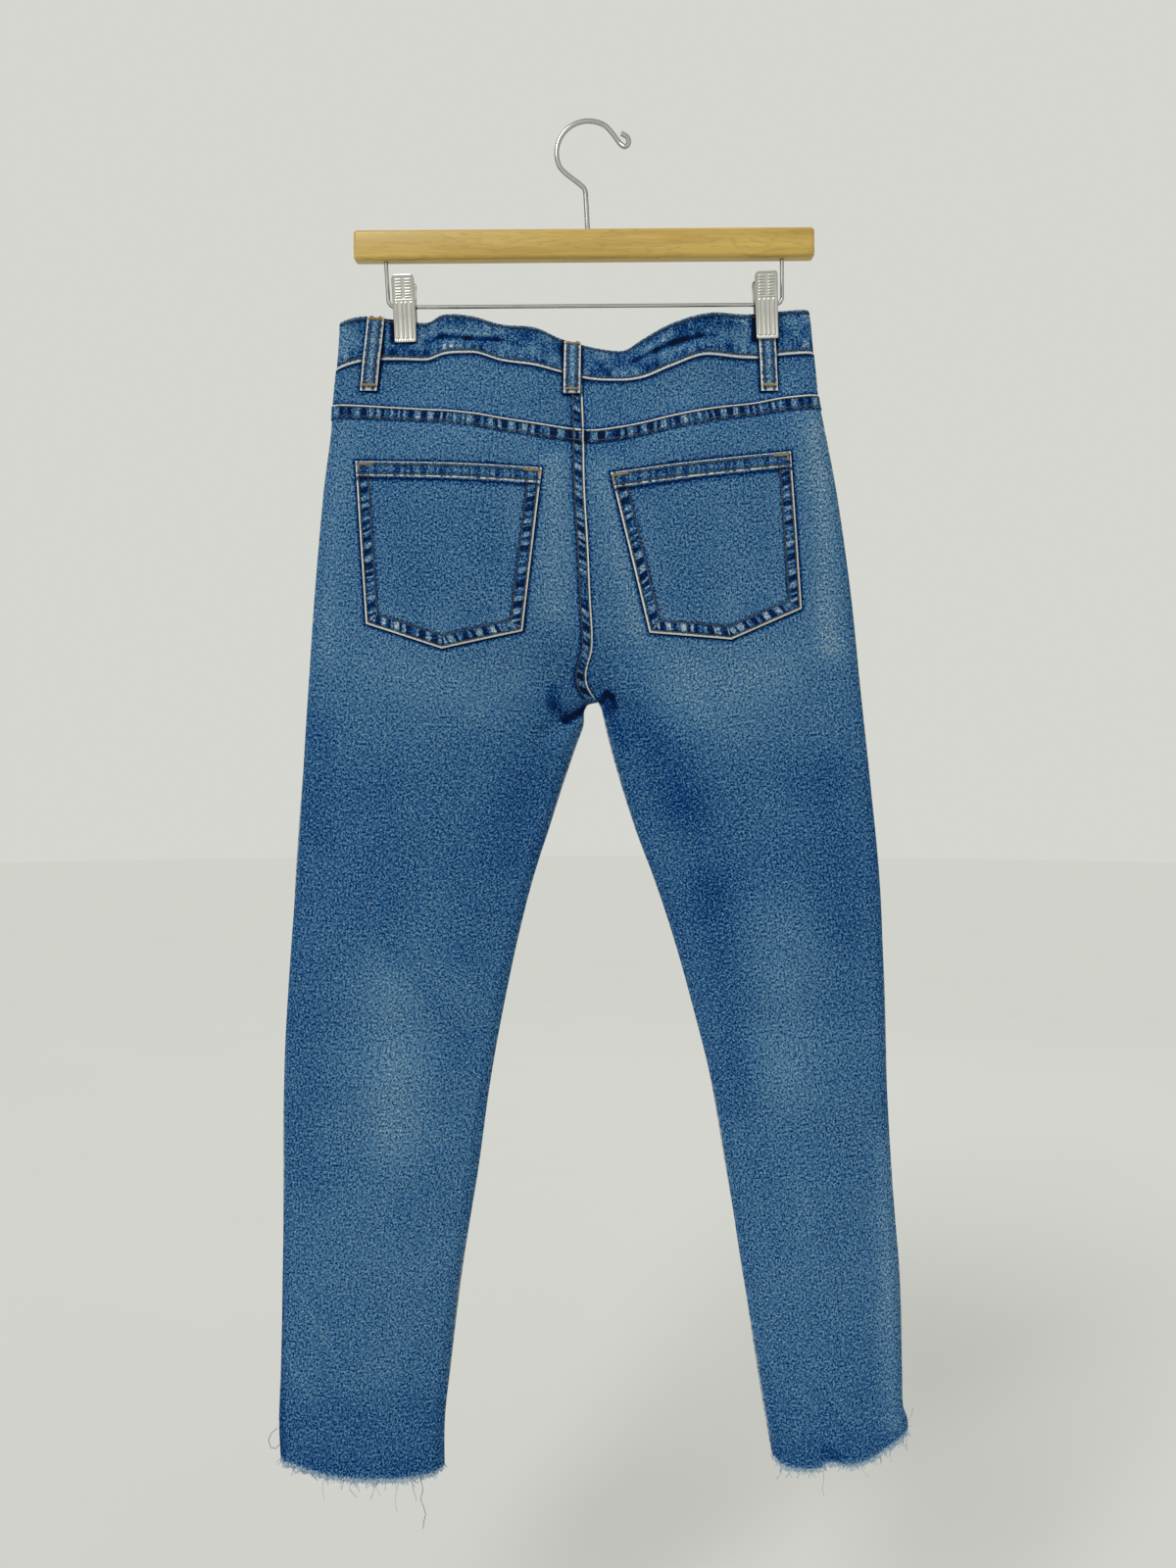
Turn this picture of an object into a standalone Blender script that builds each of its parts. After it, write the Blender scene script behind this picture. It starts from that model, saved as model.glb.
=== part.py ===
"""Cropped jeans with frayed hems, hung by the waistband from a wooden clip hanger.

The jeans hang with their back to -Y, +X is the wearer's right and +Z is up. The origin is
the underside of the hook's arc, where the hanger is held. Each cloth piece is a thin wall:
a grid of points on the garment's outer skin and a second grid set inwards by the wall.
Sizes and tables are in millimetres, and points become metres when a mesh is made.
"""

import math

import bmesh
import bpy
import numpy as np
from mathutils import Matrix

MM = 0.001
BACK, FRONT = -1, 1
LEFT, RIGHT = -1, 1


def table(names, *rows):
    """A table of sizes as one array for each named column."""
    return dict(zip(names.split(), np.array(rows, float).T))


# Cloth thicknesses and clearances

WALL = 1.4
BAND_WALL = 2.6
POCKET_WALL = 1.3
LOOP_WALL = 2.0
FLAP_WALL = 1.2
SEAM_GAP = 0.3
LAID_GAP = 0.5
BAND_STEP = 0.8
LAP_RISE = 0.9
BACK_LAP = 11.0
SEAT_LAP = 9.4
LAP_EDGE = 1.0

# The garment's outline from the front

CROTCH_X, CROTCH_Z = 6.5, -452.5

LEFT_SIDE = table(
    "z x",
    (-145, -195.5), (-160, -195.8), (-190, -197.8), (-215, -200.2), (-240, -201.6),
    (-287, -207.6), (-363, -214.5), (-440, -219.2), (-516, -224.4), (-593, -229.8),
    (-670, -234.4), (-746, -238.6), (-823, -239.2), (-900, -239.8), (-976, -241.3),
    (-1014, -242.8), (-1048, -241.3),
)
RIGHT_SIDE = table(
    "z x",
    (-140, 169.5), (-155, 172.4), (-172, 174.0), (-190, 175.6), (-210, 177.2),
    (-240, 183.1), (-287, 192.3), (-363, 203.0), (-440, 210.8), (-516, 219.1),
    (-593, 226.5), (-670, 229.8), (-746, 232.1), (-823, 236.0), (-900, 242.0),
    (-976, 244.3), (-1003, 245.2), (-1014, 248.8), (-1040, 246.5),
)
LEFT_INSEAM = table(
    "z x",
    (-452.5, 6.5), (-453.6, 0.5), (-456.5, -3.0), (-470, -5.0), (-486, -10.7),
    (-516, -20.9), (-555, -32.9), (-593, -45.2), (-631, -55.2), (-670, -63.6),
    (-746, -77.4), (-823, -88.3), (-900, -101.0), (-976, -109.6), (-1014, -113.4),
    (-1060, -113.6),
)
RIGHT_INSEAM = table(
    "z x",
    (-452.5, 6.5), (-456.5, 8.6), (-470, 12.1), (-486, 16.1), (-516, 24.6),
    (-555, 37.0), (-593, 51.0), (-631, 63.6), (-670, 75.1), (-746, 94.0),
    (-823, 107.2), (-900, 119.6), (-976, 131.7), (-1014, 138.0), (-1050, 144.0),
)
CENTRE_BACK = table(
    "z x",
    (-165, -6.5), (-205, -6.0), (-245, -4.6), (-290, -3.8), (-335, -1.2), (-375, 0.6),
    (-410, 2.4), (-427, 0.2), (-441, 1.6), (-452.5, 6.5),
)
CENTRE_FRONT = table("z x", (-165, -5.0), (-300, -4.0), (-400, 0.5), (-452.5, 6.5))

# The cross seams, read from side to side

BACK_SEAMS = table(
    "x band_top band_foot yoke_foot",
    (-200, -157.5, -194.6, -221.0),
    (-175, -152.0, -187.6, -222.5),
    (-150, -154.4, -186.4, -224.5),
    (-127, -156.6, -187.2, -226.5),
    (-114, -151.6, -184.0, -228.0),
    (-92, -153.5, -183.6, -231.0),
    (-68, -160.0, -190.5, -235.5),
    (-42, -161.6, -194.5, -239.5),
    (-22, -169.0, -199.5, -242.5),
    (0, -174.6, -205.0, -244.8),
    (24, -177.8, -206.0, -242.0),
    (42, -168.5, -203.5, -238.5),
    (62, -158.5, -195.0, -233.5),
    (92, -150.8, -184.8, -227.0),
    (130, -149.6, -185.4, -220.0),
    (150, -147.4, -182.6, -216.0),
    (178, -146.0, -181.2, -213.0),
)
FRONT_SEAMS = table(
    "x band_top band_foot",
    (-200, -157.5, -194.6),
    (-175, -153.0, -189.5),
    (-144, -155.0, -190.0),
    (-110, -163.0, -198.0),
    (-60, -179.0, -214.0),
    (0, -189.0, -224.0),
    (60, -178.0, -213.0),
    (105, -159.0, -195.0),
    (137, -150.0, -186.5),
    (178, -146.0, -181.2),
)
HEMS = table(
    "share left right",
    (0.00, -1045, -1021),
    (0.10, -1051, -1030),
    (0.25, -1055, -1038),
    (0.50, -1056, -1044),
    (0.80, -1055, -1047),
    (0.93, -1052, -1044),
    (1.00, -1046, -1039),
)

# Depth of the outer skin from the garment's mid plane

EDGE_RADIUS = 9.4
EDGE_DEPTH = 6.5
DEPTHS = table(
    "z back front outer_run inner_run",
    (-200, 15.5, 8.5, 140, 110),
    (-250, 20.0, 9.5, 140, 110),
    (-300, 21.5, 10.5, 138, 110),
    (-380, 18.0, 10.0, 125, 108),
    (-450, 13.0, 9.0, 105, 100),
    (-520, 9.5, 8.0, 92, 92),
    (-620, 7.5, 7.5, 84, 84),
    (-740, 6.5, 7.0, 76, 76),
    (-860, 6.0, 6.5, 68, 68),
    (-960, 6.0, 6.0, 62, 62),
    (-1060, 6.5, 6.5, 58, 58),
)
BAND_DEPTHS = table(
    "x back_top back_foot front_top front_foot",
    (-190, 4.6, 6.0, 5.0, 7.0),
    (-150, 6.5, 8.5, 7.0, 9.5),
    (-100, 9.5, 13.0, 11.0, 13.5),
    (-55, 8.5, 16.5, 14.0, 16.0),
    (-15, 2.0, 17.0, 15.5, 17.0),
    (25, 0.5, 17.0, 15.5, 17.0),
    (55, 5.0, 16.5, 14.0, 16.0),
    (90, 9.0, 13.0, 11.0, 13.5),
    (130, 6.5, 8.5, 7.0, 9.5),
    (168, 4.6, 6.0, 5.0, 7.0),
)
BAND_FADE = 78.0
PINCH_FLAT = 13.0
PINCH_FADE = 30.0
PINCH_FOOT = 0.55
PINCH_HIGH = 0.42

# Folds: a soft trough (negative rise) or ridge along each line
FOLDS = table(
    "side x0 z0 x1 z1 width rise",
    (BACK, -36, -478, -4, -456, 5.5, -3.6),
    (BACK, -58, -430, -22, -447, 13.0, -2.6),
    (BACK, 12, -446, 26, -462, 8.0, -4.2),
    (BACK, 40, -430, 22, -442, 14.0, 1.8),
    (BACK, -150, -205, -96, -222, 12.0, -2.0),
    (BACK, 92, -205, 128, -214, 11.0, -1.8),
    (BACK, -60, -206, -30, -214, 9.0, 1.6),
    (BACK, -205, -700, -110, -716, 16.0, -1.8),
    (BACK, -200, -752, -120, -744, 18.0, 1.6),
    (BACK, 120, -704, 205, -694, 16.0, -1.8),
    (BACK, 128, -748, 214, -760, 18.0, 1.6),
    (FRONT, -60, -458, -16, -486, 9.0, -3.2),
    (FRONT, 28, -486, 70, -456, 9.0, -3.2),
    (FRONT, -128, -402, -50, -430, 14.0, 1.8),
    (FRONT, 60, -432, 134, -404, 14.0, 1.8),
    (FRONT, -190, -690, -104, -704, 16.0, -2.0),
    (FRONT, 112, -700, 200, -686, 16.0, -2.0),
    (FRONT, -196, -742, -112, -730, 18.0, 1.8),
    (FRONT, 122, -728, 208, -744, 18.0, 1.8),
)
BAND_FOLDS = table(
    "side x0 x1 share width rise",
    (BACK, -126, -70, 0.50, 0.20, -2.2),
    (BACK, 38, 98, 0.56, 0.20, -2.4),
    (BACK, -20, -24, 0.50, 0.60, -1.6),
    (FRONT, -96, -52, 0.45, 0.22, -1.8),
    (FRONT, 48, 92, 0.50, 0.22, -1.8),
)
BAND_FOLD_END = 9.0

# Back patch pockets, by their corners
POCKETS = {
    "pocket_back_left": table(
        "x z",
        (-181.0, -267.1), (-36.6, -275.6),
        (-51.6, -399.3), (-113.4, -412.7), (-172.3, -393.1),
    ),
    "pocket_back_right": table(
        "x z",
        (15.7, -279.7), (154.6, -260.1),
        (162.8, -381.5), (108.2, -405.8), (45.6, -400.4),
    ),
}
POCKET_HEM = 11.7
POCKET_HEM_RISE = 0.8

# Front scoop pockets, fly and button
SCOOP_WIDTH = 102.0
SCOOP_DEPTH = 72.0
SCOOP_POWER = 0.8
SCOOP_LAP = 7.0
FACING_DROP = 1.2
FLAP_LENGTH = 128.0
FLAP_WIDTH = 36.0
FLAP_OVER = 4.0
FLAP_TURN = 42.0
ZIP_LENGTH = 112.0
ZIP_WIDTH = 14.0
ZIP_WALL = 1.6
LAP_OVER = 18.0
LAP_UNDER = 22.0
LAP_INSET = BAND_WALL + LAID_GAP
BUTTON_RADIUS = 8.5
BUTTON_X = -3.0

# Belt loops, each a strip from the band's top to below its foot
LOOP_WIDTH = 12.8
LOOPS = {
    "loop_back_left": dict(
        side=BACK, top=-166.4, foot=-172.0, foot_z=-211.0, stand=0.9, seat=0.2),
    "loop_back_centre": dict(
        side=BACK, top=-13.4, foot=-13.9, foot_z=-216.0, stand=0.9, seat=1.1),
    "loop_back_right": dict(
        side=BACK, top=137.2, foot=139.6, foot_z=-211.0, stand=0.0, seat=0.2),
    "loop_front_left": dict(
        side=FRONT, top=-88.0, foot=-90.0, foot_z=-222.0, stand=0.9, seat=0.2),
    "loop_front_right": dict(
        side=FRONT, top=80.0, foot=82.0, foot_z=-222.0, stand=0.9, seat=0.2),
}

# Frayed hem
FRINGE_STRANDS = 40
FRINGE_STRIP = 2.2
FRINGE_WALL = 1.2
FRINGE_LENGTH = 3.6
FRINGE_TAPER = 0.45

# Hanger
HANGER_TILT = math.radians(0.42)
BAR_LENGTH = 359.0
BAR_HEIGHT = 23.6
BAR_DEPTH = 12.6
BAR_X, BAR_Z = -5.3, -95.6
BAR_ROUND = 3.2
HOOK_WIRE = 3.75
HOOK_RADIUS = 24.9
HOOK_X = -1.3
WIRE_THICK = 3.0
WIRE_Z = -142.7
WIRE_LEFT, WIRE_RIGHT = -158.6, 149.2
WIRE_TOP_SPREAD = 1.6
WIRE_BEND = 6.0

# Clips
CLIP_WIDTH = 17.4
CLIP_TIP, CLIP_TOP = -28.5, 22.0
CLIP_PLATE = 1.0
CLIP_LEAN = math.radians(1.7)
CLIP_X = {"left": -145.6, "right": 136.0}
CLIP_GRIP = BAND_WALL + SEAM_GAP / 2 + 0.7
SPRING_RADIUS = 4.3
SPRING_LENGTH = 12.0

DENIM = (0.10, 0.19, 0.34)
WORN_DENIM = (0.17, 0.27, 0.41)
FRAYED = (0.50, 0.56, 0.64)
MAPLE = (0.62, 0.42, 0.17)
STEEL = (0.72, 0.72, 0.72)
NICKEL = (0.66, 0.66, 0.65)
BRASS_ZIP = (0.55, 0.42, 0.18)


def along(sizes, place, value, at):
    """A smooth curve of one column against another, held level past its ends."""
    order = np.argsort(sizes[place])
    x, y = sizes[place][order], sizes[value][order]
    step = np.diff(x)
    slope = np.diff(y) / step
    tangent = np.concatenate([slope[:1], (slope[1:] + slope[:-1]) / 2, slope[-1:]])
    tangent[1:-1][slope[1:] * slope[:-1] <= 0] = 0
    at = np.clip(at, x[0], x[-1])
    k = np.clip(np.searchsorted(x, at) - 1, 0, len(step) - 1)
    t = (at - x[k]) / step[k]
    start = (1 + 2 * t) * (1 - t) ** 2 * y[k] + t * (1 - t) ** 2 * step[k] * tangent[k]
    end = t * t * (3 - 2 * t) * y[k + 1] + t * t * (t - 1) * step[k] * tangent[k + 1]
    return start + end


def ease(share):
    """0 to 1 with level ends."""
    share = np.clip(share, 0, 1)
    return share * share * (3 - 2 * share)


def mix(first, second, share):
    return first * (1 - share) + second * share


def side_edge(leg, z):
    return along(LEFT_SIDE if leg == LEFT else RIGHT_SIDE, "z", "x", z)


def centre_seam(side, z):
    return along(CENTRE_BACK if side == BACK else CENTRE_FRONT, "z", "x", z)


def inseam(leg, z):
    return along(LEFT_INSEAM if leg == LEFT else RIGHT_INSEAM, "z", "x", z)


def inner_edge(side, leg, z):
    """The centre seam above the crotch, the inseam below it."""
    return np.where(z > CROTCH_Z, centre_seam(side, z), inseam(leg, z))


def inseam_lines():
    """Both inseams as one run of short segments."""
    steps = CROTCH_Z - 620 * np.linspace(0, 1, 90) ** 1.6
    starts, ends = [], []
    for leg in (LEFT, RIGHT):
        points = np.stack([inseam(leg, steps), steps], axis=-1)
        starts.append(points[:-1])
        ends.append(points[1:])
    return np.concatenate(starts), np.concatenate(ends)


INSEAM_STARTS, INSEAM_ENDS = inseam_lines()


def nearest_on_lines(x, z, starts, ends):
    """Distance to the nearest segment, and the way from it, for arrays of points."""
    points = np.stack([x, z], axis=-1)[..., None, :]
    runs = ends - starts
    share = ((points - starts) * runs).sum(-1) / (runs**2).sum(-1)
    feet = starts + np.clip(share, 0, 1)[..., None] * runs
    ways = points - feet
    distances = np.sqrt((ways**2).sum(-1))
    best = distances.argmin(-1)
    distance = np.take_along_axis(distances, best[..., None], -1)[..., 0]
    way = np.take_along_axis(ways, best[..., None, None], -2)[..., 0, :]
    return distance, way


def roundness(distance):
    """Sine and cosine of the skin's turn at a distance from a rounded edge."""
    cosine = 1 - np.clip(distance / EDGE_RADIUS, 0, 1)
    return np.sqrt(1 - cosine**2), cosine


def swell(distance, run):
    return np.sin(math.pi / 2 * np.clip(distance / run, 0, 1))


def seam_height(side, name, x):
    return along(BACK_SEAMS if side == BACK else FRONT_SEAMS, "x", name, x)


def pinch(x, share):
    """1 where a clip presses the band flat, fading sideways and down."""
    reach = np.zeros_like(x)
    for place in CLIP_X.values():
        reach = np.maximum(reach, 1 - ease((np.abs(x - place) - PINCH_FLAT) / PINCH_FADE))
    return reach * mix(PINCH_FOOT, 1.0, ease(share / PINCH_HIGH))


def band_depth(side, x, share):
    """Depth of the band's outer skin at a share of its height, before its rounded ends."""
    face = "back" if side == BACK else "front"
    foot = along(BAND_DEPTHS, "x", face + "_foot", x)
    top = along(BAND_DEPTHS, "x", face + "_top", x)
    depth = mix(foot, top, share)
    for k in range(len(BAND_FOLDS["side"])):
        fold = {name: column[k] for name, column in BAND_FOLDS.items()}
        if fold["side"] != side:
            continue
        low, high = sorted((fold["x0"], fold["x1"]))
        past = np.maximum(np.maximum(low - x, x - high), 0) / BAND_FOLD_END
        across = (share - fold["share"]) / fold["width"]
        depth = depth + fold["rise"] * np.exp(-(past**2) - across**2)
    pressed = BAND_WALL + SEAM_GAP / 2
    return mix(depth, pressed, pinch(x, share))


def fold_rise(side, x, z):
    rise = np.zeros_like(x)
    for k in range(len(FOLDS["side"])):
        fold = {name: column[k] for name, column in FOLDS.items()}
        if fold["side"] != side:
            continue
        start = np.array([[fold["x0"], fold["z0"]]])
        end = np.array([[fold["x1"], fold["z1"]]])
        distance, _ = nearest_on_lines(x, z, start, end)
        rise = rise + fold["rise"] * np.exp(-((distance / fold["width"]) ** 2))
    return rise


def cloth(side, leg, x, z, out):
    """Points at a height `out` over the panels' outer skin, above (x, z) in the flat."""
    x, z = np.broadcast_arrays(np.asarray(x, float), np.asarray(z, float))
    outer = np.abs(x - side_edge(leg, z))
    inner, way = nearest_on_lines(x, z, INSEAM_STARTS, INSEAM_ENDS)
    outer_sine, outer_cosine = roundness(outer)
    inner_sine, inner_cosine = roundness(inner)
    face = "back" if side == BACK else "front"
    depth = EDGE_DEPTH * outer_sine * inner_sine
    depth += (
        along(DEPTHS, "z", face, z)
        * swell(outer, along(DEPTHS, "z", "outer_run", z))
        * swell(inner, along(DEPTHS, "z", "inner_run", z))
    )
    below = (seam_height(side, "band_foot", x) - z) / BAND_FADE
    at_band = (band_depth(side, x, np.zeros_like(x)) - BAND_STEP) * outer_sine
    depth = mix(at_band, depth, ease(below))
    depth = depth + fold_rise(side, x, z) * outer_sine * inner_sine * ease(below * 3)
    way = way + np.array([leg * 1e-3, 3e-4])
    way = way / np.linalg.norm(way, axis=-1, keepdims=True)
    normal_x = -outer_cosine * -leg + -inner_cosine * way[..., 0]
    normal_z = -inner_cosine * way[..., 1]
    normal_y = outer_sine * inner_sine
    length = np.sqrt(normal_x**2 + normal_y**2 + normal_z**2)
    lift = out / length
    return np.stack(
        [
            x + lift * normal_x,
            side * (SEAM_GAP / 2 + depth + lift * normal_y),
            z + lift * normal_z,
        ],
        axis=-1,
    )


# Columns of a panel's grid, from the side seam to the inner edge
EDGE_STEPS = (0.0, 1.3, 4.5, EDGE_RADIUS)
SHARES = {
    LEFT: (0.085, 0.175, 0.32, 0.46, 0.61, 0.76, 0.90),
    RIGHT: (0.085, 0.24, 0.37, 0.49, 0.62, 0.75, 0.89),
}


def panel_columns(leg, lap):
    """For each column its distance from the outer edge, from the inner edge, and its share."""
    steps_in = EDGE_STEPS + ((SEAT_LAP + LAP_EDGE,) if lap else ())
    columns = [(step, 0.0, 0.0) for step in EDGE_STEPS]
    columns += [(EDGE_RADIUS, steps_in[-1], share) for share in SHARES[leg]]
    columns += [(0.0, step, 1.0) for step in reversed(steps_in)]
    return np.array(columns)


def column_x(side, leg, columns, z):
    """Where each column stands at height z."""
    outer = side_edge(leg, z) - leg * columns[:, 0]
    inner = inner_edge(side, leg, z) + leg * (columns[:, 1] + SEAM_GAP / 2)
    return mix(outer, inner, columns[:, 2])


def seam_row(side, leg, columns, name, drop):
    """A row of a panel's grid along a cross seam."""
    z = np.full(len(columns), -200.0)
    for _ in range(4):
        x = column_x(side, leg, columns, z)
        z = seam_height(side, name, x) - drop
    return x, z


def scoop(leg, x, z):
    """How far below the band's foot the front panel is scooped for its pocket."""
    share = np.clip(np.abs(x - side_edge(leg, z)) / SCOOP_WIDTH, 0, 1)
    return SCOOP_DEPTH * (1 - share**2) ** SCOOP_POWER


def hem_row(leg, columns):
    """Heights of the raw hem at a panel's columns."""
    z = np.full(len(columns), -1050.0)
    x = column_x(BACK, leg, columns, z)
    share = (x - x[0]) / (x[-1] - x[0])
    return along(HEMS, "share", "left" if leg == LEFT else "right", share)


def new_collection(name):
    made = bpy.data.collections.new(name)
    bpy.context.scene.collection.children.link(made)
    return made


def clear_scene():
    for old in list(bpy.data.objects):
        bpy.data.objects.remove(old, do_unlink=True)


def paint(obj, colour, roughness, metallic=0.0):
    """Give an object its own Principled material."""
    made = bpy.data.materials.new(obj.name + "_finish")
    made.use_nodes = True
    shader = made.node_tree.nodes["Principled BSDF"]
    shader.inputs["Base Color"].default_value = (*colour, 1.0)
    shader.inputs["Roughness"].default_value = roughness
    shader.inputs["Metallic"].default_value = metallic
    made.diffuse_color = (*colour, 1.0)
    obj.data.materials.append(made)


def add_object(name, data, parent):
    obj = bpy.data.objects.new(name, data)
    PARTS.objects.link(obj)
    obj.parent = parent
    return obj


def mesh_object(name, shape, parent, sharp=40):
    """Turn a bmesh into a named object, round where it is round."""
    bmesh.ops.recalc_face_normals(shape, faces=shape.faces[:])
    mesh = bpy.data.meshes.new(name)
    shape.to_mesh(mesh)
    shape.free()
    mesh.shade_smooth()
    mesh.set_sharp_from_angle(angle=math.radians(sharp))
    return add_object(name, mesh, parent)


def wall_shape(outer, inner):
    """A wall between two grids of points of the same size, in millimetres."""
    rows, columns = outer.shape[:2]
    shape = bmesh.new()
    bmesh.ops.create_grid(shape, x_segments=columns - 1, y_segments=rows - 1, size=1.0)
    faces_out = shape.faces[:]
    verts_out = set(shape.verts)
    bmesh.ops.extrude_face_region(shape, geom=faces_out, use_keep_orig=True)
    for vert in shape.verts:
        column = round((vert.co.x + 1) / 2 * (columns - 1))
        row = round((vert.co.y + 1) / 2 * (rows - 1))
        points = outer if vert in verts_out else inner
        vert.co = [float(value) * MM for value in points[row, column]]
    return shape


def wall(name, outer, inner, parent, colour=DENIM, roughness=0.85, sharp=40):
    obj = mesh_object(name, wall_shape(outer, inner), parent, sharp)
    paint(obj, colour, roughness)
    return obj


# Legs and yokes

BACK_LEVELS = (
    -262, -285, -309, -333, -357, -381, -404, -424, -439, -448, CROTCH_Z, -456.5, -465, -480,
    -503, -533, -568, -604, -640, -675, -708, -745, -790, -840, -890, -940, -985, -1022,
)
FRONT_LEVELS = (
    -248, -278, -308, -338, -368, -398, -422, -439, -448, CROTCH_Z, -456.5, -465, -480,
    -503, -533, -568, -604, -640, -675, -708, -745, -790, -840, -890, -940, -985, -1022,
)


def leg_rows(top, hem, first, levels):
    """Heights of every grid point: the inner column stands at the levels given."""
    inner_levels = np.concatenate([top[-1] - np.asarray(first, float), levels, hem[-1:]])
    share = (top[-1] - inner_levels) / (top[-1] - hem[-1])
    z = top + share[:, None] * (hem - top)
    for k, drop in enumerate(first):
        z[k] = top - drop
    return z


def leg_points(side, leg, columns, z, relief):
    x = np.array([column_x(side, leg, columns, row) for row in z])
    return cloth(side, leg, x, z, relief), cloth(side, leg, x, z, -WALL)


def build_backs(parent):
    """A back panel for each leg: its top laps the yoke, and the left one laps the right."""
    for leg, word in ((LEFT, "left"), (RIGHT, "right")):
        lap = leg == LEFT
        columns = panel_columns(leg, lap)
        _, top = seam_row(BACK, leg, columns, "yoke_foot", SEAM_GAP / 2)
        first = (0.0, BACK_LAP, BACK_LAP + LAP_EDGE)
        z = leg_rows(top, hem_row(leg, columns), first, BACK_LEVELS)
        relief = np.zeros_like(z)
        relief[:2] = LAP_RISE
        if lap:
            above = z[:, -1] > CROTCH_Z + 1
            relief[above, -len(EDGE_STEPS):] = LAP_RISE
        outer, inner = leg_points(BACK, leg, columns, z, relief)
        wall("back_" + word, outer, inner, parent)


def build_yokes(parent):
    for leg, word in ((LEFT, "left"), (RIGHT, "right")):
        lap = leg == LEFT
        columns = panel_columns(leg, lap)
        top_x, top_z = seam_row(BACK, leg, columns, "band_foot", SEAM_GAP / 2)
        foot_x, foot_z = seam_row(BACK, leg, columns, "yoke_foot", -SEAM_GAP / 2)
        share = np.linspace(0, 1, 4)[:, None]
        x = mix(top_x, foot_x, share)
        z = mix(top_z, foot_z, share)
        relief = np.zeros_like(z)
        if lap:
            relief[:, -len(EDGE_STEPS):] = LAP_RISE
        outer = cloth(BACK, leg, x, z, relief)
        inner = cloth(BACK, leg, x, z, -WALL)
        wall("yoke_" + word, outer, inner, parent)


def build_fronts(parent):
    for leg, word in ((LEFT, "left"), (RIGHT, "right")):
        columns = panel_columns(leg, False)
        top_x, top = seam_row(FRONT, leg, columns, "band_foot", SEAM_GAP / 2)
        top = top - scoop(leg, top_x, top)
        z = leg_rows(top, hem_row(leg, columns), (0.0,), FRONT_LEVELS)
        outer, inner = leg_points(FRONT, leg, columns, z, 0.0)
        wall("front_" + word, outer, inner, parent)


def build_facings(parent):
    """The pocket facing behind each scoop, lapped a little way under the front panel."""
    for leg, word in ((LEFT, "left"), (RIGHT, "right")):
        across = np.array([0.0, 1.3, 4.5, EDGE_RADIUS, 24, 42, 60, 78, 96, 116])
        edge = side_edge(leg, -195.0)
        x = edge - leg * across
        top = seam_height(FRONT, "band_foot", x) - FACING_DROP
        depth = np.maximum(scoop(leg, x, top), 4.0) + SCOOP_LAP * ease((across - 2) / 16)
        depth[across < 2] -= 1.0
        share = np.linspace(0, 1, 5)[:, None]
        z = top - share * depth
        x = side_edge(leg, z) - leg * across
        outer = cloth(FRONT, leg, x, z, -WALL - LAID_GAP)
        inner = cloth(FRONT, leg, x, z, -2 * WALL - LAID_GAP)
        wall("facing_" + word, outer, inner, parent)


# Waistband

BAND_LEVELS = (0.0, 0.25, 0.5, 0.75, 1.0)


def band_points(side, leg, x, share, out, inset=0.0):
    """Points over the band's outer skin. The band turns round at each side with no seam."""
    low = seam_height(side, "band_foot", x) + SEAM_GAP / 2
    high = seam_height(side, "band_top", x)
    z = mix(low, high, share)
    sine, cosine = roundness(np.abs(x - side_edge(leg, z)))
    depth = band_depth(side, x, np.full_like(x, share)) * sine - inset
    return np.stack([x + out * cosine * leg, side * (depth + out * sine), z], axis=-1)


def band_x(side, leg, share):
    """The band's stations stand on the panels' columns."""
    columns = panel_columns(leg, side == BACK and leg == LEFT)
    x = column_x(side, leg, columns, np.full(len(columns), -190.0))
    for _ in range(3):
        low = seam_height(side, "band_foot", x)
        high = seam_height(side, "band_top", x)
        x = column_x(side, leg, columns, mix(low, high, share))
    return x


def build_waistband(parent):
    """One strip from the left end at the centre front, round the back, to the right end."""
    grids = []
    for out in (0.0, -BAND_WALL):
        rows = []
        for share in BAND_LEVELS:
            left_x = band_x(FRONT, LEFT, share)
            right_x = band_x(FRONT, RIGHT, share)
            over = left_x[-1] + np.array([LAP_OVER, LAP_OVER / 2])
            under = right_x[-1] - np.array([LAP_UNDER / 2, LAP_UNDER])
            right_run = np.concatenate([right_x[1:], under])
            inset = LAP_INSET * ease((46 - right_run) / 22)
            runs = (
                band_points(FRONT, LEFT, np.concatenate([over, left_x[::-1]]), share, out),
                band_points(BACK, LEFT, band_x(BACK, LEFT, share)[1:], share, out),
                band_points(BACK, RIGHT, band_x(BACK, RIGHT, share)[-2::-1], share, out),
                band_points(FRONT, RIGHT, right_run, share, out, inset),
            )
            rows.append(np.concatenate(runs))
        grids.append(np.array(rows))
    wall("waistband", grids[0], grids[1], parent)


# Pieces laid on the panels

def nearest_leg(x):
    return LEFT if x < CROTCH_X else RIGHT


def build_back_pockets(parent):
    for name, corner in POCKETS.items():
        x, z = corner["x"], corner["z"]
        leg = nearest_leg(x[0])
        point = (x[3] - x[4]) / (x[2] - x[4])
        thirds = np.array([1, 2, 3]) / 3
        across = np.concatenate([[0], point * thirds, point + (1 - point) * thirds])
        foot_z = np.interp(across, (0, point, 1), (z[4], z[3], z[2]))
        height = abs(z[0] - z[4])
        hem = POCKET_HEM / height
        down = np.array([0, hem, hem + LAP_EDGE / height, 0.35, 0.57, 0.79, 1.0])[:, None]
        top_x, top_z = mix(x[0], x[1], across), mix(z[0], z[1], across)
        foot_x = mix(x[4], x[2], across)
        grid_x, grid_z = mix(top_x, foot_x, down), mix(top_z, foot_z, down)
        rise = np.where(down <= hem, POCKET_HEM_RISE, 0.0) + np.zeros_like(grid_x)
        outer = cloth(BACK, leg, grid_x, grid_z, LAID_GAP + POCKET_WALL + rise)
        inner = cloth(BACK, leg, grid_x, grid_z, LAID_GAP)
        wall(name, outer, inner, parent, WORN_DENIM)


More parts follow.
